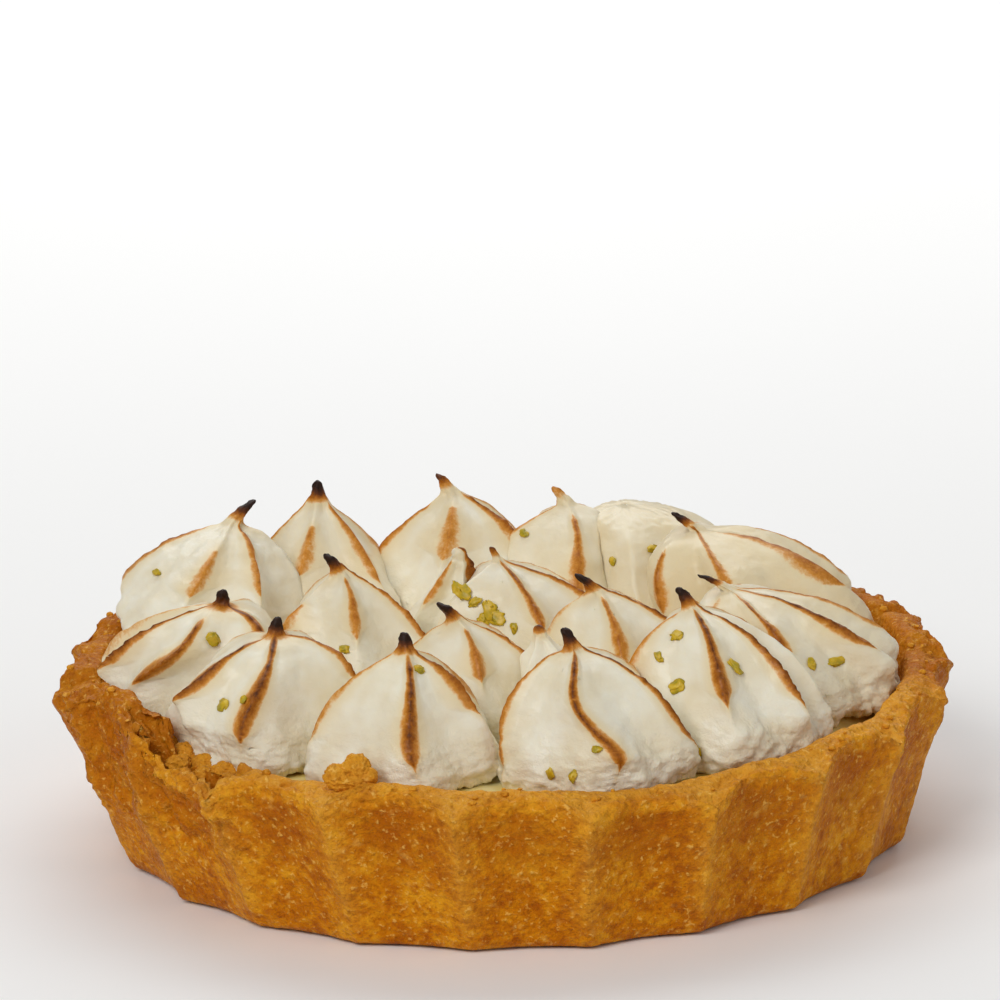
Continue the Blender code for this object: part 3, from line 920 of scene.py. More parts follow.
@dataclass(frozen=True)
class Kiss:
    """One piped kiss, in mm and degrees: its foot, its tip, its ridges and its bends."""

    name: str
    foot: tuple[float, float]
    radius: float
    tip: tuple[float, float, float]
    ridges: tuple[Ridge, ...]
    twist: float = 0.0
    shoulder: float = 2.2
    roundness: float = 0.72
    char: TipChar = TipChar.BLACK
    char_length: float = 2.6
    curl: tuple[float, float] = (0.0, 0.0)
    sway: float = 3.0
    nub: float = 0.58
    peaked: bool = True
    foam: float = 1.0
    rounds: float = 0.38
    # Painted shade: a warm, darker wash over the whole kiss, for kisses that lie in shade at the back
    # and right
    shade_wash: float = 0.0


PALE, FAINT, TAN = Browning.NONE, Browning.FAINT, Browning.TAN
GOLD, BROWN, DARK = Browning.GOLDEN, Browning.BROWN, Browning.DARK

KISSES = (
    Kiss("kiss_front_left", (-10.6, -31.2), 10.7, (-10.3, -30.6, 31.6), (
        Ridge(-175, TAN, 0.28, 0.84, 0.7), Ridge(-84, DARK, 0.26, 0.80, 0.9),
        Ridge(-20, BROWN, 0.50, 0.88, 0.9), Ridge(40, TAN), Ridge(105, TAN)),
        4, curl=(-0.2, 0.0), foam=1.2),
    Kiss("kiss_front_right", (9.8, -33.0), 10.8, (6.6, -32.0, 32.0), (
        Ridge(-165, GOLD, 0.14, 0.84, 0.6), Ridge(-87, DARK, 0.24, 0.82, 0.75, -11.0),
        Ridge(-15, DARK, 0.26, 0.90, 0.6), Ridge(45, TAN), Ridge(110, FAINT)),
        12, 2.6, 0.66, curl=(-0.4, 0.0), foam=1.3),
    Kiss("kiss_right_front", (23.5, -24.0), 11.7, (18.9, -22.0, 33.4), (
        Ridge(-160, TAN, 0.45, 0.84, 0.6), Ridge(-82, DARK, 0.46, 0.84, 0.8),
        Ridge(-32, DARK, 0.38, 0.90, 0.6), Ridge(-5, PALE), Ridge(50, TAN), Ridge(120, TAN)),
        6, 2.7, 0.66, curl=(-0.7, 0.0), foam=1.3),
    Kiss("kiss_right", (33.6, -6.0), 12.4, (21.5, -9.5, 31.2), (
        Ridge(-130, FAINT), Ridge(-82, BROWN, 0.54, 0.84, 0.7),
        Ridge(-26, DARK, 0.50, 0.84, 1.2, -5.0), Ridge(14, GOLD, 0.48, 0.86, 0.7), Ridge(85, TAN)),
        0, 3.2, 0.52, char_length=2.1, curl=(-1.4, 0.0), foam=1.7, rounds=1.1, shade_wash=0.35),
    Kiss("kiss_right_back", (30.3, 12.6), 12.8, (19.4, 12.6, 32.2), (
        Ridge(-140, GOLD, 0.42, 0.78, 0.9), Ridge(-92, GOLD, 0.60, 0.90, 0.6),
        Ridge(-14, GOLD, 0.52, 0.84, 2.1, -5.0), Ridge(28, GOLD, 0.42, 0.80, 0.7), Ridge(95, FAINT)),
        0, 3.8, 0.48, char_length=2.2, curl=(-0.9, 0.0), foam=1.3, rounds=1.0, shade_wash=0.85),
    Kiss("kiss_back_right", (19.2, 26.6), 12.2, (14.5, 29.5, 28.7), (
        Ridge(-100, PALE), Ridge(-30, PALE), Ridge(25, PALE), Ridge(100, PALE), Ridge(180, PALE)),
        0, 3.0, 0.5, TipChar.PALE, peaked=False, shade_wash=0.5),
    Kiss("kiss_back_mid", (7.4, 27.2), 11.8, (6.4, 28.5, 31.2), (
        Ridge(-170, TAN, 0.45, 0.95, 0.4), Ridge(-82, GOLD, 0.36, 0.80, 0.9), Ridge(-5, PALE),
        Ridge(60, FAINT), Ridge(125, FAINT)),
        5, 2.2, 0.68, TipChar.SINGED, 1.4, (-1.3, 0.0), rounds=0.7, shade_wash=0.3),
    Kiss("kiss_back", (-5.4, 29.2), 12.8, (-7.0, 31.0, 32.4), (
        Ridge(-170, GOLD, 0.36, 0.78, 0.8), Ridge(-98, TAN, 0.54, 0.80, 1.2),
        Ridge(-22, BROWN, 0.46, 0.84, 1.0), Ridge(45, TAN), Ridge(115, FAINT)),
        0, 1.9, 0.78, TipChar.BROWN, 2.0, (-1.5, 0.0)),
    Kiss("kiss_back_left", (-20.2, 23.6), 11.6, (-20.6, 25.5, 33.4), (
        Ridge(-175, TAN, 0.35, 0.86, 0.4), Ridge(-105, TAN, 0.50, 0.74, 0.9),
        Ridge(-38, GOLD, 0.42, 0.84, 0.7), Ridge(40, TAN), Ridge(115, FAINT)),
        0, 1.8, 0.88, TipChar.BLACK, 2.7, shade_wash=0.3),
    Kiss("kiss_left_back", (-35.2, 12.8), 13.2, (-27.6, 18.5, 33.2), (
        Ridge(-98, TAN, 0.56, 0.76, 1.0), Ridge(-50, GOLD, 0.54, 0.88, 0.45), Ridge(10, PALE),
        Ridge(80, FAINT), Ridge(158, GOLD, 0.24, 0.80, 1.5)),
        0, 2.4, 0.74, TipChar.BLACK, 3.1, (1.2, 0.0), foam=1.9),
    Kiss("kiss_left", (-34.6, -5.0), 11.6, (-30.3, -8.0, 30.2), (
        Ridge(-163, DARK, 0.42, 0.84, 0.8), Ridge(-120, BROWN, 0.42, 0.80, 1.1, 7.0),
        Ridge(-50, DARK, 0.58, 0.92, 0.7), Ridge(60, TAN), Ridge(165, FAINT, 0.35, 0.86, 0.6)),
        0, 3.4, 0.5, curl=(-0.8, 0.0), foam=1.3),
    Kiss("kiss_left_front", (-26.6, -21.8), 11.6, (-24.0, -22.0, 31.0), (
        Ridge(-152, DARK, 0.50, 0.84, 0.9, 5.0), Ridge(-96, DARK, 0.32, 0.86, 1.0),
        Ridge(-12, BROWN, 0.58, 0.92, 0.6), Ridge(55, TAN), Ridge(120, TAN)),
        -6, 3.2, 0.54, curl=(-0.3, 0.0), foam=1.2),
    Kiss("kiss_inner_left", (-17.4, 3.2), 11.6, (-19.2, 1.5, 31.4), (
        Ridge(-150, TAN, 0.46, 0.66, 0.9), Ridge(-78, GOLD, 0.50, 0.82, 0.55),
        Ridge(-15, BROWN, 0.30, 0.94, 0.5), Ridge(60, TAN), Ridge(130, TAN)),
        0, 1.9, 0.84, curl=(-1.2, 0.0)),
    Kiss("kiss_inner_front", (-3.0, -13.0), 10.4, (-6.8, -15.5, 30.4), (
        Ridge(170, TAN, 0.40, 0.86, 0.4), Ridge(-78, GOLD, 0.50, 0.80, 0.75),
        Ridge(-12, BROWN, 0.26, 0.94, 0.5), Ridge(50, TAN), Ridge(110, TAN)),
        0, 1.9, 0.78, curl=(-1.3, 0.0)),
    Kiss("kiss_inner_right", (14.0, -6.0), 11.2, (8.3, -7.5, 31.0), (
        Ridge(-170, FAINT, 0.40, 0.84, 0.5), Ridge(-86, GOLD, 0.44, 0.82, 0.75),
        Ridge(-12, DARK, 0.30, 0.94, 0.7), Ridge(60, TAN), Ridge(120, TAN)),
        4, 2.1, 0.72, curl=(-1.2, 0.0)),
    Kiss("kiss_inner_back", (4.0, 8.8), 13.0, (-1.0, 5.5, 30.6), (
        Ridge(-150, PALE), Ridge(-74, BROWN, 0.50, 0.86, 0.6),
        Ridge(-15, BROWN, 0.30, 0.84, 0.9), Ridge(60, TAN), Ridge(130, TAN)),
        0, 2.2, 0.74, TipChar.BROWN, 1.2, nub=0.3),
    Kiss("kiss_small", (6.0, -18.0), 8.0, (3.9, -16.0, 27.8), (
        Ridge(-130, PALE), Ridge(-50, PALE), Ridge(30, PALE), Ridge(110, PALE), Ridge(180, PALE)),
        0, 1.7, 0.85, TipChar.BROWN, 0.9, nub=0.7),
)


# A small peak that the nozzle left beside the middle kiss: it is part of no other
PEAK = Kiss("peak_inner_back", (-7.4, 12.0), 6.4, (-4.6, 8.0, 30.0), (
    Ridge(-135, TAN, 0.55, 0.88, 0.4), Ridge(-70, PALE), Ridge(-10, DARK, 0.62, 1.0, 1.0),
    Ridge(50, PALE), Ridge(120, PALE)), 0, 1.8, 0.85, TipChar.PALE, 1.4, (-0.6, 0.0), nub=0.8)


@dataclass
class PipedKiss:
    """The fine surface of a kiss: a globe whose rings become its foot, its folds and its tip."""

    kiss: Kiss
    crust: Crust
    foot_height: float = 16.1
    seed: float = 0.0
    neck: float = 0.87
    steps: int = 34
    rings: int = 112
    press: float = 0.30
    over_rim: float = 4.0
    over_rim_start: float = 18.9
    over_rim_reach: float = 4.5
    lumps: int = 10
    lump_level: float = 0.30
    lump_size: tuple[float, float] = (1.1, 2.4)
    lump_rise: tuple[float, float] = (0.15, 0.45)
    char_radius: float = 0.9
    char_taper: float = 0.5
    behind_hollow: float = 1.2

    def level(self, height: np.ndarray) -> np.ndarray:
        """Turns heights to shares of the way from the foot to the tip."""
        foot = self.foot_height * MM
        return np.clip((height - foot) / (self.kiss.tip[2] * MM - foot), 0.0, 1.0)

    def axis(self, height: np.ndarray) -> np.ndarray:
        """Gives the centre of the kiss at each height, which leans from its foot to its tip."""
        level = self.level(height)[:, None]
        foot = np.array(self.kiss.foot) * MM
        tip = np.array(self.kiss.tip[:2]) * MM
        turn = np.clip((level - 0.84) / 0.16, 0.0, 1.0) ** 1.3 - smooth_step(level / 0.84)
        return foot + (tip - foot) * level ** 1.5 + np.array(self.kiss.curl) * MM * turn

    def spread(self, height: np.ndarray) -> np.ndarray:
        """Gives the radius of the kiss at each height, along its ridges.

        Args:
            height: the heights, in metres.

        Returns:
            The radii, in metres.
        """
        kiss, level = self.kiss, self.level(height)
        body = (1.0 - np.clip(level / self.neck, 0.0, 1.0) ** kiss.shoulder) ** kiss.roundness
        tuck = 0.84 + 0.16 * np.sqrt(1.0 - (1.0 - np.clip(level / 0.14, 0.0, 1.0)) ** 2)
        below = np.maximum(kiss.tip[2] - height / MM, 0.0)
        if not kiss.peaked:
            return kiss.radius * np.sqrt(np.clip(1.0 - level ** 2.6, 0.0, 1.0)) * tuck * MM
        hat = np.minimum(kiss.nub + 0.05 * below + 0.10 * below ** 2, 2.4)
        hat = hat * np.sqrt(1.0 - (1.0 - np.clip(below / 0.7, 0.0, 1.0)) ** 2)
        return -soft_least(-kiss.radius * body * tuck, -hat, 0.7) * MM

    def within_cell(
        self, azimuth: np.ndarray, reach: np.ndarray, height: np.ndarray, others: Sequence["PipedKiss"]
    ) -> np.ndarray:
        """Holds the surface back where the kiss is pressed against a neighbour or the crust.

        Args:
            azimuth: the direction of each point, in radians.
            reach: how far out it lies, in metres.
            height: its height, in metres.
            others: the neighbours.

        Returns:
            The reach that each point keeps.
        """
        centre, own = self.axis(height), self.spread(height)
        heading = np.stack([np.cos(azimuth), np.sin(azimuth)], axis=1)
        for other in others:
            apart = other.axis(height) - centre
            theirs = other.spread(height)
            distance = np.hypot(apart[:, 0], apart[:, 1])
            towards = (heading * apart).sum(axis=1) / distance
            edge = (distance ** 2 + own ** 2 - theirs ** 2) / (2 * distance) + self.press * MM
            limit = np.where(towards > 0.03, edge / np.maximum(towards, 0.03), 1.0)
            present = height < other.kiss.tip[2] * MM
            reach = np.where(present, soft_least(reach, limit, 0.7 * MM), reach)
        along = (heading * centre).sum(axis=1)
        spot = centre + heading * reach[:, None]
        rise = np.maximum(self.crust.rim_change(np.arctan2(spot[:, 1], spot[:, 0]))[0], 0.0)
        over = smooth_step((height - self.over_rim_start * MM - rise) / (self.over_rim_reach * MM))
        angle = np.arctan2(spot[:, 1], spot[:, 0])
        back = self.crust.hollow.share(angle) * (1.0 - smooth_step((height / MM - 19.5) / 8.0))
        bound = (43.5 + self.over_rim * over - self.behind_hollow * back) * MM
        limit = np.sqrt(np.maximum(along ** 2 - (centre ** 2).sum(axis=1) + bound ** 2, 0.0)) - along
        return np.maximum(soft_least(reach, limit, 2.2 * MM), 0.0)

    def shape(self, globe: bpy.types.Object, others: Sequence["PipedKiss"]) -> None:
        """Turns a plain globe into the kiss and notes its heat and its foam.

        Args:
            globe: a sphere with a whole number of steps to each fold, which is changed.
            others: the neighbours.
        """
        kiss = self.kiss
        folds = len(kiss.ridges)
        around = folds * self.steps
        unit = corners(globe)
        unit = unit / np.linalg.norm(unit, axis=1)[:, None]
        ring = np.rint((1 - np.arccos(np.clip(unit[:, 2], -1, 1)) / math.pi) * self.rings)
        turn = np.arctan2(unit[:, 1], unit[:, 0]) / (2 * math.pi)
        step = (np.rint(turn * around) % around).astype(int)
        level = np.clip((ring - 1) / (self.rings - 2), 0.0, 1.0)
        share = (step % self.steps) / self.steps
        order = np.argsort([ridge.azimuth for ridge in kiss.ridges])
        paths = np.array([kiss.ridges[i].path(level) for i in order])
        paths = np.vstack([paths, paths[:1] + 2 * math.pi])
        height = (self.foot_height + level * (kiss.tip[2] - self.foot_height)) * MM
        swing = math.radians(kiss.twist) * (0.5 - level)
        swing = swing + math.radians(kiss.sway) * np.sin(7.0 * level + self.seed * 1.7)
        sector = step // self.steps
        spot = np.arange(len(level))
        here, there = paths[sector, spot], paths[sector + 1, spot]
        azimuth = here + (there - here) * share + swing
        sharp = np.sin(math.pi * share)
        rounded = 1.0 - smooth_step((level - 0.12) / kiss.rounds)
        valley = sharp * (1 - rounded) + sharp ** 2 * rounded
        depth = 0.13 + 0.15 * smooth_step(level / 0.5) - 0.22 * smooth_step((level - 0.78) / 0.2)
        spread = self.spread(height)
        reach = spread * (1.0 - depth * valley)
        beside = np.minimum(share, 1.0 - share) * (there - here) * spread / MM
        fin = 0.26 * np.exp(-((beside / 0.55) ** 2)) * smooth_step((level - 0.25) / kiss.rounds)
        reach = reach + fin * smooth_step((0.92 - level) / 0.08) * MM
        reach = self.within_cell(azimuth, reach, height, others)
        centre = self.axis(height)
        placed = np.stack(
            [centre[:, 0] + np.cos(azimuth) * reach, centre[:, 1] + np.sin(azimuth) * reach, height],
            axis=1,
        )
        poles = (ring == 0) | (ring == self.rings)
        placed[poles, :2] = centre[poles]
        # A kiss in shade gets a floor of heat, which paints a warm, darker shade over all of it
        heat = np.maximum(self.tip_heat(placed), kiss.shade_wash - 0.9)
        for ridge in kiss.ridges:
            aside = azimuth - ridge.path(level) - swing
            aside = np.arctan2(np.sin(aside), np.cos(aside)) * reach / MM
            heat = np.maximum(heat, ridge.heat(aside, level))
        move_corners(globe, placed)
        self.foam_up(globe, placed, level, poles, heat)
        note(globe, "toast_and_shade", np.clip(heat, -1.0, 1.2))
        note(globe, "foam", 1.0 - smooth_step((level - 0.1) / 0.5))

    def tip_heat(self, placed: np.ndarray) -> np.ndarray:
        """Gives the heat near the tip, which the torch caught first, at each point."""
        if self.kiss.char is TipChar.PALE:
            return np.full(len(placed), -1.0)
        aside = np.hypot(placed[:, 0] / MM - self.kiss.tip[0], placed[:, 1] / MM - self.kiss.tip[1])
        below = self.kiss.tip[2] - placed[:, 2] / MM
        below = below + self.char_taper * np.maximum(aside - self.char_radius, 0.0)
        return self.kiss.char.value * (1.5 - 1.5 * below / self.kiss.char_length)

    def foam_up(
        self,
        globe: bpy.types.Object,
        placed: np.ndarray,
        level: np.ndarray,
        poles: np.ndarray,
        heat: np.ndarray,
    ) -> None:
        """Gives the kiss the soft lumps of foam, which are largest at its ragged foot, and blisters
        its burnt crests.

        Args:
            globe: the shaped kiss, which is changed.
            placed: its vertices.
            level: their height, as a share of the kiss.
            poles: which of them are its two poles.
            heat: how far each is browned.
        """
        low = 1.0 - smooth_step((level - 0.05) / 0.4)
        foot = 1.0 - smooth_step(level / 0.2)
        more = self.kiss.foam
        swell = self.swell(placed) * more
        shift = (0.20 + 0.26 * low) * rough(placed, 4.2, 2, self.seed)
        shift = shift + more * (0.06 + 0.24 * low) * rough(placed, 1.8, 3, self.seed + 3)
        shift = shift + more * 0.50 * foot * rough(placed, 2.4, 3, self.seed + 7)
        shift = shift + more * 0.08 * low * rough(placed, 0.95, 2, self.seed + 11) + swell
        shift = shift + 0.20 * smooth_step((heat - 0.3) / 0.25) * rough(placed, 0.9, 2, self.seed + 5)
        tip = smooth_step((level - 0.86) / 0.06)
        shift = shift * (1 - tip) + tip * 0.16 * rough(placed, 0.8, 2, self.seed)
        shift[poles] = 0.0
        placed = placed + outward(globe) * (shift * MM)[:, None]
        placed[:, 2] = np.maximum(placed[:, 2], (self.foot_height - 0.3) * MM)
        move_corners(globe, placed)

    def swell(self, placed: np.ndarray) -> np.ndarray:
        """Swells the foam into soft lumps round the foot.

        Args:
            placed: the vertices of the kiss, in metres.

        Returns:
            How far each one stands out, in mm.
        """
        chance = np.random.default_rng(int(self.seed * 10))
        out = np.zeros(len(placed))
        for _ in range(self.lumps):
            turn, level = chance.uniform(-math.pi, math.pi), chance.uniform(0.0, self.lump_level)
            size, amount = chance.uniform(*self.lump_size), chance.uniform(*self.lump_rise)
            above = level * (self.kiss.tip[2] - self.foot_height)
            height = np.array([(self.foot_height + above) * MM])
            middle, reach = self.axis(height)[0], self.spread(height)[0]
            spot = (middle[0] + math.cos(turn) * reach, middle[1] + math.sin(turn) * reach, height[0])
            gap = np.linalg.norm(placed - np.array(spot), axis=1) / MM
            out = out + amount * np.exp(-((gap / size) ** 2))
        return out

    def build(self, finish: bpy.types.Material, others: Sequence["PipedKiss"]) -> bpy.types.Object:
        """Makes the kiss.

        Args:
            finish: the meringue material.
            others: the neighbours.

        Returns:
            The kiss, which stands for its node where it has one.
        """
        clear_selection()
        bpy.ops.mesh.primitive_uv_sphere_add(
            segments=len(self.kiss.ridges) * self.steps, ring_count=self.rings, radius=8 * MM
        )
        globe = bpy.context.active_object
        self.shape(globe, others)
        settle(globe, "piped_" + self.kiss.name, finish)
        return globe if self.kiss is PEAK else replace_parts(globe, self.kiss.name)


# Lime zest


@dataclass(frozen=True)
class Scrap:
    """A scrap of zest on a kiss: where it lies, in degrees and as a share of the kiss's height, and
    its length, width and turn, in mm and degrees."""

    kiss: str
    azimuth: float
    level: float
    length: float
    width: float
    turn: float


SCRAPS = (
    Scrap("kiss_left", -84, 0.71, 1.9, 1.4, 70),
    Scrap("kiss_left_front", -121, 0.48, 1.7, 1.3, 60),
    Scrap("kiss_left_front", -102, 0.56, 1.0, 0.8, 70),
    Scrap("kiss_inner_left", -86, 0.40, 1.3, 1.0, 80),
    Scrap("kiss_front_left", -58, 0.78, 1.4, 1.1, 50),
    Scrap("kiss_inner_back", -147, 0.70, 2.4, 1.8, 50),
    Scrap("kiss_inner_back", -133, 0.62, 1.6, 1.0, 130),
    Scrap("kiss_inner_back", -119, 0.57, 2.2, 1.5, 20),
    Scrap("kiss_inner_back", -113, 0.52, 2.4, 1.6, 80),
    Scrap("kiss_inner_back", -124, 0.50, 1.6, 1.2, 60),
    Scrap("kiss_inner_back", -97, 0.47, 1.2, 0.8, 10),
    Scrap("kiss_back_mid", -150, 0.68, 1.1, 0.9, 60),
    Scrap("kiss_back_right", -119, 0.65, 1.4, 0.9, 90),
    Scrap("kiss_back_right", -80, 0.74, 1.9, 1.0, 90),
    Scrap("kiss_left_back", -158, 0.60, 1.5, 0.8, 90),
    Scrap("kiss_right_front", -121, 0.75, 1.4, 1.2, 90),
    Scrap("kiss_right_front", -139, 0.63, 1.2, 0.8, 30),
    Scrap("kiss_right_front", -122, 0.48, 1.9, 1.4, 120),
    Scrap("kiss_right_front", -62, 0.59, 1.8, 1.3, 10),
    Scrap("kiss_right_front", -107, 0.13, 2.0, 1.4, 20),
    Scrap("kiss_front_right", -123, 0.16, 1.4, 0.9, 10),
    Scrap("kiss_front_right", -106, 0.16, 1.4, 0.9, 170),
    Scrap("kiss_front_right", -87, 0.35, 1.1, 0.8, 100),
    Scrap("kiss_right", -72, 0.45, 1.3, 1.0, 30),
    Scrap("kiss_right", -53, 0.40, 4.0, 1.2, 100),
    Scrap("kiss_right_back", -2, 0.50, 1.2, 0.9, 90),
)


@dataclass
class Zest:
    """All the scraps of zest, as one piece."""

    scraps: tuple[Scrap, ...] = SCRAPS
    thickness: float = 0.5
    foot_height: float = 16.3

    def lay(self, scrap: Scrap, kiss: Kiss, target: bpy.types.Object) -> bpy.types.Object:
        """Makes one scrap: a crumpled flake that lies on its kiss.

        Args:
            scrap: where it lies and how large it is.
            kiss: the kiss under it.
            target: that kiss's mesh.

        Returns:
            The flake.
        """
        level = scrap.level
        height = self.foot_height + level * (kiss.tip[2] - self.foot_height)
        foot, tip = Vector(kiss.foot), Vector(kiss.tip[:2])
        centre = foot + (tip - foot) * level ** 1.5
        angle = math.radians(scrap.azimuth)
        inside = Vector((centre.x, centre.y, height)) * MM
        heading = Vector((math.cos(angle), math.sin(angle), 0.0))
        hit, here, facing, _ = target.ray_cast(inside + heading * 20 * MM, -heading)
        if not hit:
            hit, here, facing, _ = target.closest_point_on_mesh(inside + heading * kiss.radius * MM)
        clear_selection()
        bpy.ops.mesh.primitive_ico_sphere_add(subdivisions=3, radius=0.5)
        flake = bpy.context.active_object
        up = Vector((0.0, 0.0, 1.0))
        along = (up - facing * up.dot(facing)).normalized()
        along.rotate(Matrix.Rotation(math.radians(scrap.turn), 3, facing))
        place = Matrix((along, facing.cross(along), facing)).transposed().to_4x4()
        place.translation = here + facing * (0.3 * self.thickness * MM)
        for vertex in flake.data.vertices:
            spot = vertex.co.copy()
            seed = here / MM
            bend = noise.noise_vector(spot * 2.2 + seed) * 0.34
            bend = bend + noise.noise_vector(spot * 6 + seed) * 0.1
            lift = 0.35 * (spot.x ** 2 + spot.y ** 2) * noise.noise(seed)
            vertex.co = Vector((
                (spot.x + bend.x) * scrap.length,
                (spot.y + bend.y) * scrap.width,
                (spot.z + bend.z * 0.6) * self.thickness + lift,
            )) * MM
        flake.data.transform(place)
        return flake

    def build(
        self, finish: bpy.types.Material, kisses: Mapping[str, bpy.types.Object]
    ) -> bpy.types.Object:
        """Makes and joins all the scraps.

        Args:
            finish: the zest material.
            kisses: each kiss's finished mesh, by the name of its node.

        Returns:
            The zest.
        """
        plan = {kiss.name: kiss for kiss in KISSES}
        flakes = [self.lay(scrap, plan[scrap.kiss], kisses[scrap.kiss]) for scrap in self.scraps]
        clear_selection()
        for flake in flakes:
            flake.select_set(True)
        bpy.context.view_layer.objects.active = flakes[0]
        bpy.ops.object.join()
        return settle(flakes[0], "lime_zest", finish)


# Loose crumbs


@dataclass
class Crumbs:
    """Loose crumbs of crust on the rim, as one piece."""

    # Centre and size, in mm
    large: tuple[tuple[tuple[float, float, float], tuple[float, float, float]], ...] = (
        ((-17.4, -42.8, 19.7), (3.0, 2.3, 2.6)),
        ((-15.4, -42.6, 20.6), (3.0, 2.3, 2.8)),
        ((-16.2, -43.0, 19.2), (4.2, 2.2, 2.0)),
        ((-14.2, -43.0, 19.7), (2.2, 1.8, 2.0)),
        ((-12.6, -44.6, 18.6), (3.0, 2.1, 1.6)),
        ((-10.6, -45.0, 18.6), (1.9, 1.5, 1.2)),
        ((-34.2, -25.8, 17.0), (3.4, 3.0, 2.6)),
        ((-32.0, -28.0, 16.6), (3.2, 2.8, 2.4)),
        ((-29.6, -30.4, 16.6), (3.2, 2.8, 2.0)),
        ((-27.2, -32.2, 16.6), (2.6, 2.6, 1.8)),
        ((-36.0, -23.6, 17.6), (2.6, 2.8, 2.8)),
        ((-34.6, -28.2, 16.8), (2.8, 2.4, 2.2)),
        ((-31.8, -30.8, 16.4), (2.6, 2.4, 2.0)),
        ((-29.2, -33.0, 16.4), (2.4, 2.2, 1.8)),
    )
    small: int = 90
    seed: int = 5

    def crumb(self, centre: Vector, size: Vector) -> bpy.types.Object:
        """Makes one crumb.

        Args:
            centre: its centre, in mm.
            size: its three sizes, in mm.

        Returns:
            The crumb.
        """
        clear_selection()
        large = max(size) > 2.5
        bpy.ops.mesh.primitive_ico_sphere_add(subdivisions=5 if large else 2, radius=0.5)
        made = bpy.context.active_object
        spots = corners(made)
        lumps = rough(spots * MM, 0.34, 4, centre.x * 3.1)
        if large:
            lumps = lumps + 0.6 * (grains(spots * MM, 0.3) - 0.6)
        spots = spots * (1.0 + 0.22 * lumps)[:, None]
        move_corners(made, (spots * np.array(size) + np.array(centre)) * MM)
        return made

    def build(self, finish: bpy.types.Material, crust: bpy.types.Object) -> bpy.types.Object:
        """Makes the large crumbs where they lie, and strews small ones on the rim.

        Args:
            finish: the shortcrust material.
            crust: the finished crust, on which they lie.

        Returns:
            The crumbs.
        """
        made = [self.crumb(Vector(centre), Vector(size)) for centre, size in self.large]
        chance = np.random.default_rng(self.seed)
        for _ in range(self.small):
            angle = math.radians(chance.uniform(-180, 180))
            radius = chance.uniform(45.0, 48.2)
            above = Vector((math.cos(angle) * radius, math.sin(angle) * radius, 40.0)) * MM
            hit, here, _, _ = crust.ray_cast(above, Vector((0, 0, -1)))
            width = chance.uniform(0.35, 1.0)
            size = Vector((width, width * chance.uniform(0.6, 1.0), width * chance.uniform(0.5, 0.9)))
            if hit and here.z > 12 * MM:
                made.append(self.crumb(here / MM + Vector((0, 0, size.z * 0.25)), size))
        clear_selection()
        for piece in made:
            piece.select_set(True)
        bpy.context.view_layer.objects.active = made[0]
        bpy.ops.object.join()
        joined = made[0]
        # The crumbs take the paler tone of the rim and the crests, which is partly painted light
        note(joined, "rim", np.full(len(joined.data.vertices), 0.75))
        note(joined, "crest", np.full(len(joined.data.vertices), 0.3))
        return settle(joined, "loose_crumbs", finish)


# Studio


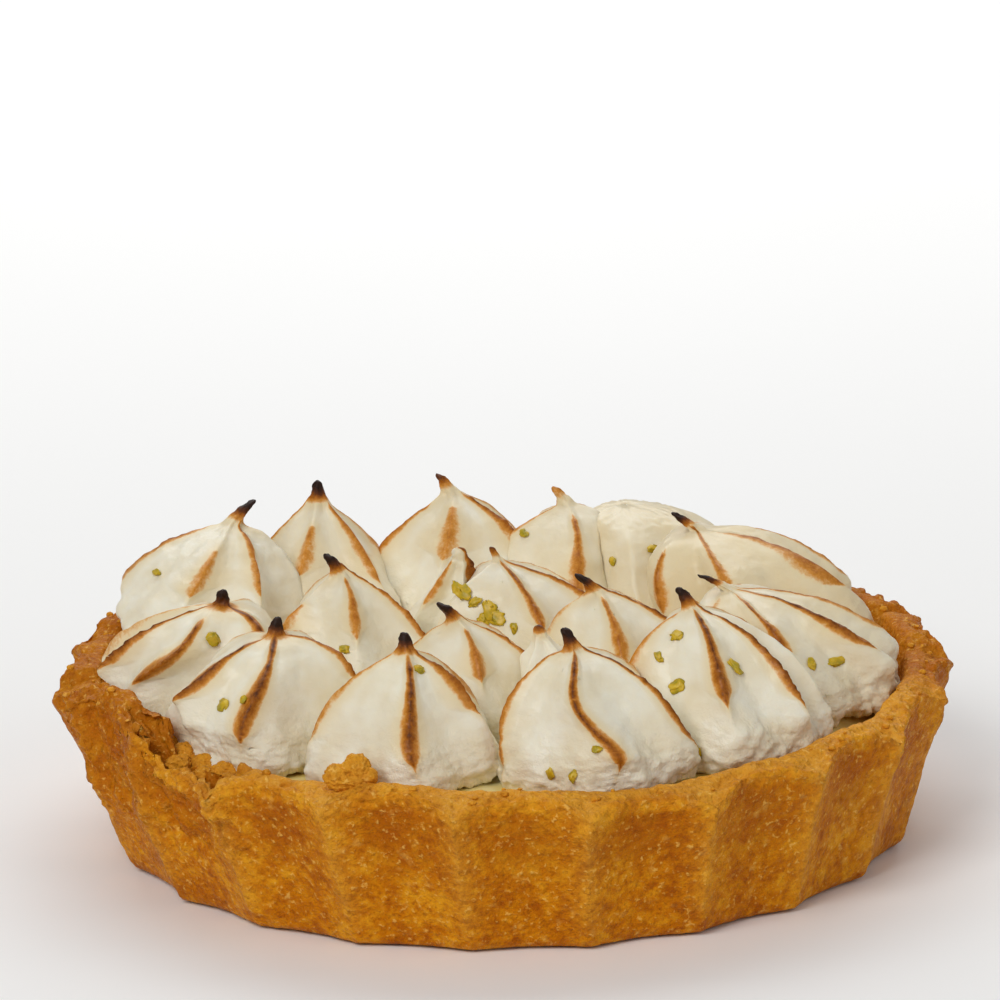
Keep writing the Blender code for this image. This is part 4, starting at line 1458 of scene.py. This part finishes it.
@dataclass
class Studio:
    """The pale floor, the soft lights and the camera."""

    elevation: float = 16.93
    distance: float = 0.7
    focal_pixels: float = 6320.9
    aim: tuple[float, float, float] = (0.0, 0.0, 0.015)
    aim_pixel: tuple[float, float] = (503.385, 696.124)
    roll: float = -0.02273
    image: int = 1000

    def floor(self) -> None:
        """Makes the pale floor, with its edges far outside the view."""
        clear_selection()
        bpy.ops.mesh.primitive_plane_add(size=8.0, location=(0, 0, -0.05 * MM))
        plane = bpy.context.active_object
        made = bpy.data.materials.new("painted_board")
        made.use_nodes = True
        tree = made.node_tree
        place = add_node(tree, "ShaderNodeTexCoord").outputs["Object"]
        shade = add_node(tree, "ShaderNodeTexNoise", {"Scale": 3.0, "Detail": 2.0}, {"Vector": place})
        colour = add_node(
            tree, "ShaderNodeValToRGB", links={"Fac": shade.outputs["Fac"]},
            stops=((0.3, "#f4f4f3"), (0.7, "#f7f7f6")),
        )
        shader = tree.nodes["Principled BSDF"]
        tree.links.new(colour.outputs["Color"], shader.inputs["Base Color"])
        shader.inputs["Roughness"].default_value = 0.9
        shader.inputs["Specular IOR Level"].default_value = 0.1
        plane.name = plane.data.name = "floor"
        plane.data.materials.append(made)
        bpy.ops.object.transform_apply(location=True, rotation=True, scale=True)

    def light(
        self,
        name: str,
        place: tuple[float, float, float],
        size: float,
        power: float,
        aim: tuple[float, float, float] = (0.0, 0.0, 0.02),
    ) -> None:
        """Adds a soft square light.

        Args:
            name: the light's name.
            place: where it stands, in metres.
            size: the length of its side, in metres.
            power: its power, in watts.
            aim: the point that it faces, in metres.
        """
        lamp = bpy.data.lights.new(name, "AREA")
        lamp.size = size
        lamp.energy = power
        holder = bpy.data.objects.new(name, lamp)
        bpy.context.scene.collection.objects.link(holder)
        holder.location = place
        towards = Vector(aim) - Vector(place)
        holder.rotation_euler = towards.to_track_quat("-Z", "Y").to_euler()

    def camera(self) -> None:
        """Sets the camera where the photograph was taken from."""
        lens = bpy.data.cameras.new("camera")
        lens.sensor_width = 36.0
        lens.lens = 36.0 * self.focal_pixels / self.image
        lens.clip_start, lens.clip_end = 0.05, 20.0
        view = bpy.data.objects.new("camera", lens)
        bpy.context.scene.collection.objects.link(view)
        tilt = math.radians(self.elevation)
        back = Vector((0.0, -math.cos(tilt), math.sin(tilt)))
        view.location = Vector(self.aim) + back * self.distance
        turn = (-back).to_track_quat("-Z", "Y") @ Quaternion((0, 0, 1), self.roll)
        across, down = (self.aim_pixel[i] - self.image / 2 for i in (0, 1))
        aimed = Vector((across, -down, -self.focal_pixels)).normalized()
        view.rotation_mode = "QUATERNION"
        view.rotation_quaternion = turn @ aimed.rotation_difference(Vector((0, 0, -1)))
        bpy.context.scene.camera = view

    def build(self) -> None:
        """Makes the whole studio."""
        self.floor()
        self.light("key", (-0.38, -0.66, 0.62), 0.45, 4.6)
        self.light("fill", (0.60, -0.50, 0.45), 0.6, 1.0)
        self.light("back", (0.0, 0.52, 0.46), 0.7, 3.0, (0.0, 0.40, 0.0))
        world = bpy.data.worlds.new("soft_white")
        world.use_nodes = True
        sky = world.node_tree.nodes["Background"]
        sky.inputs["Color"].default_value = (1.0, 1.0, 1.0, 1.0)
        sky.inputs["Strength"].default_value = 0.24
        bpy.context.scene.world = world
        bpy.context.scene.view_settings.view_transform = "Standard"
        self.camera()


def main() -> None:
    """Builds the tart's visible pieces and the studio."""
    logging.basicConfig(level=logging.INFO, format="%(name)s %(message)s")
    noise.seed_set(NOISE_SEED)
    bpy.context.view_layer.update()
    shortcrust = Shortcrust().material()
    meringue = TorchedMeringue().material()
    crust = Crust()
    shell = crust.build(shortcrust)
    Filling().build(LemonCurd().material())
    piped = [PipedKiss(kiss, crust, seed=3.7 * index + 1) for index, kiss in enumerate(KISSES)]
    made = {}
    for one in piped:
        close = [
            other for other in piped
            if other is not one
            and math.dist(one.kiss.foot, other.kiss.foot) < one.kiss.radius + other.kiss.radius + 6.0
        ]
        made[one.kiss.name] = one.build(meringue, close)
    PipedKiss(PEAK, crust, seed=2.3).build(meringue, [])
    Zest().build(LimeZest().material(), made)
    Crumbs().build(shortcrust, shell)
    Studio().build()


if __name__ == "__main__":
    main()
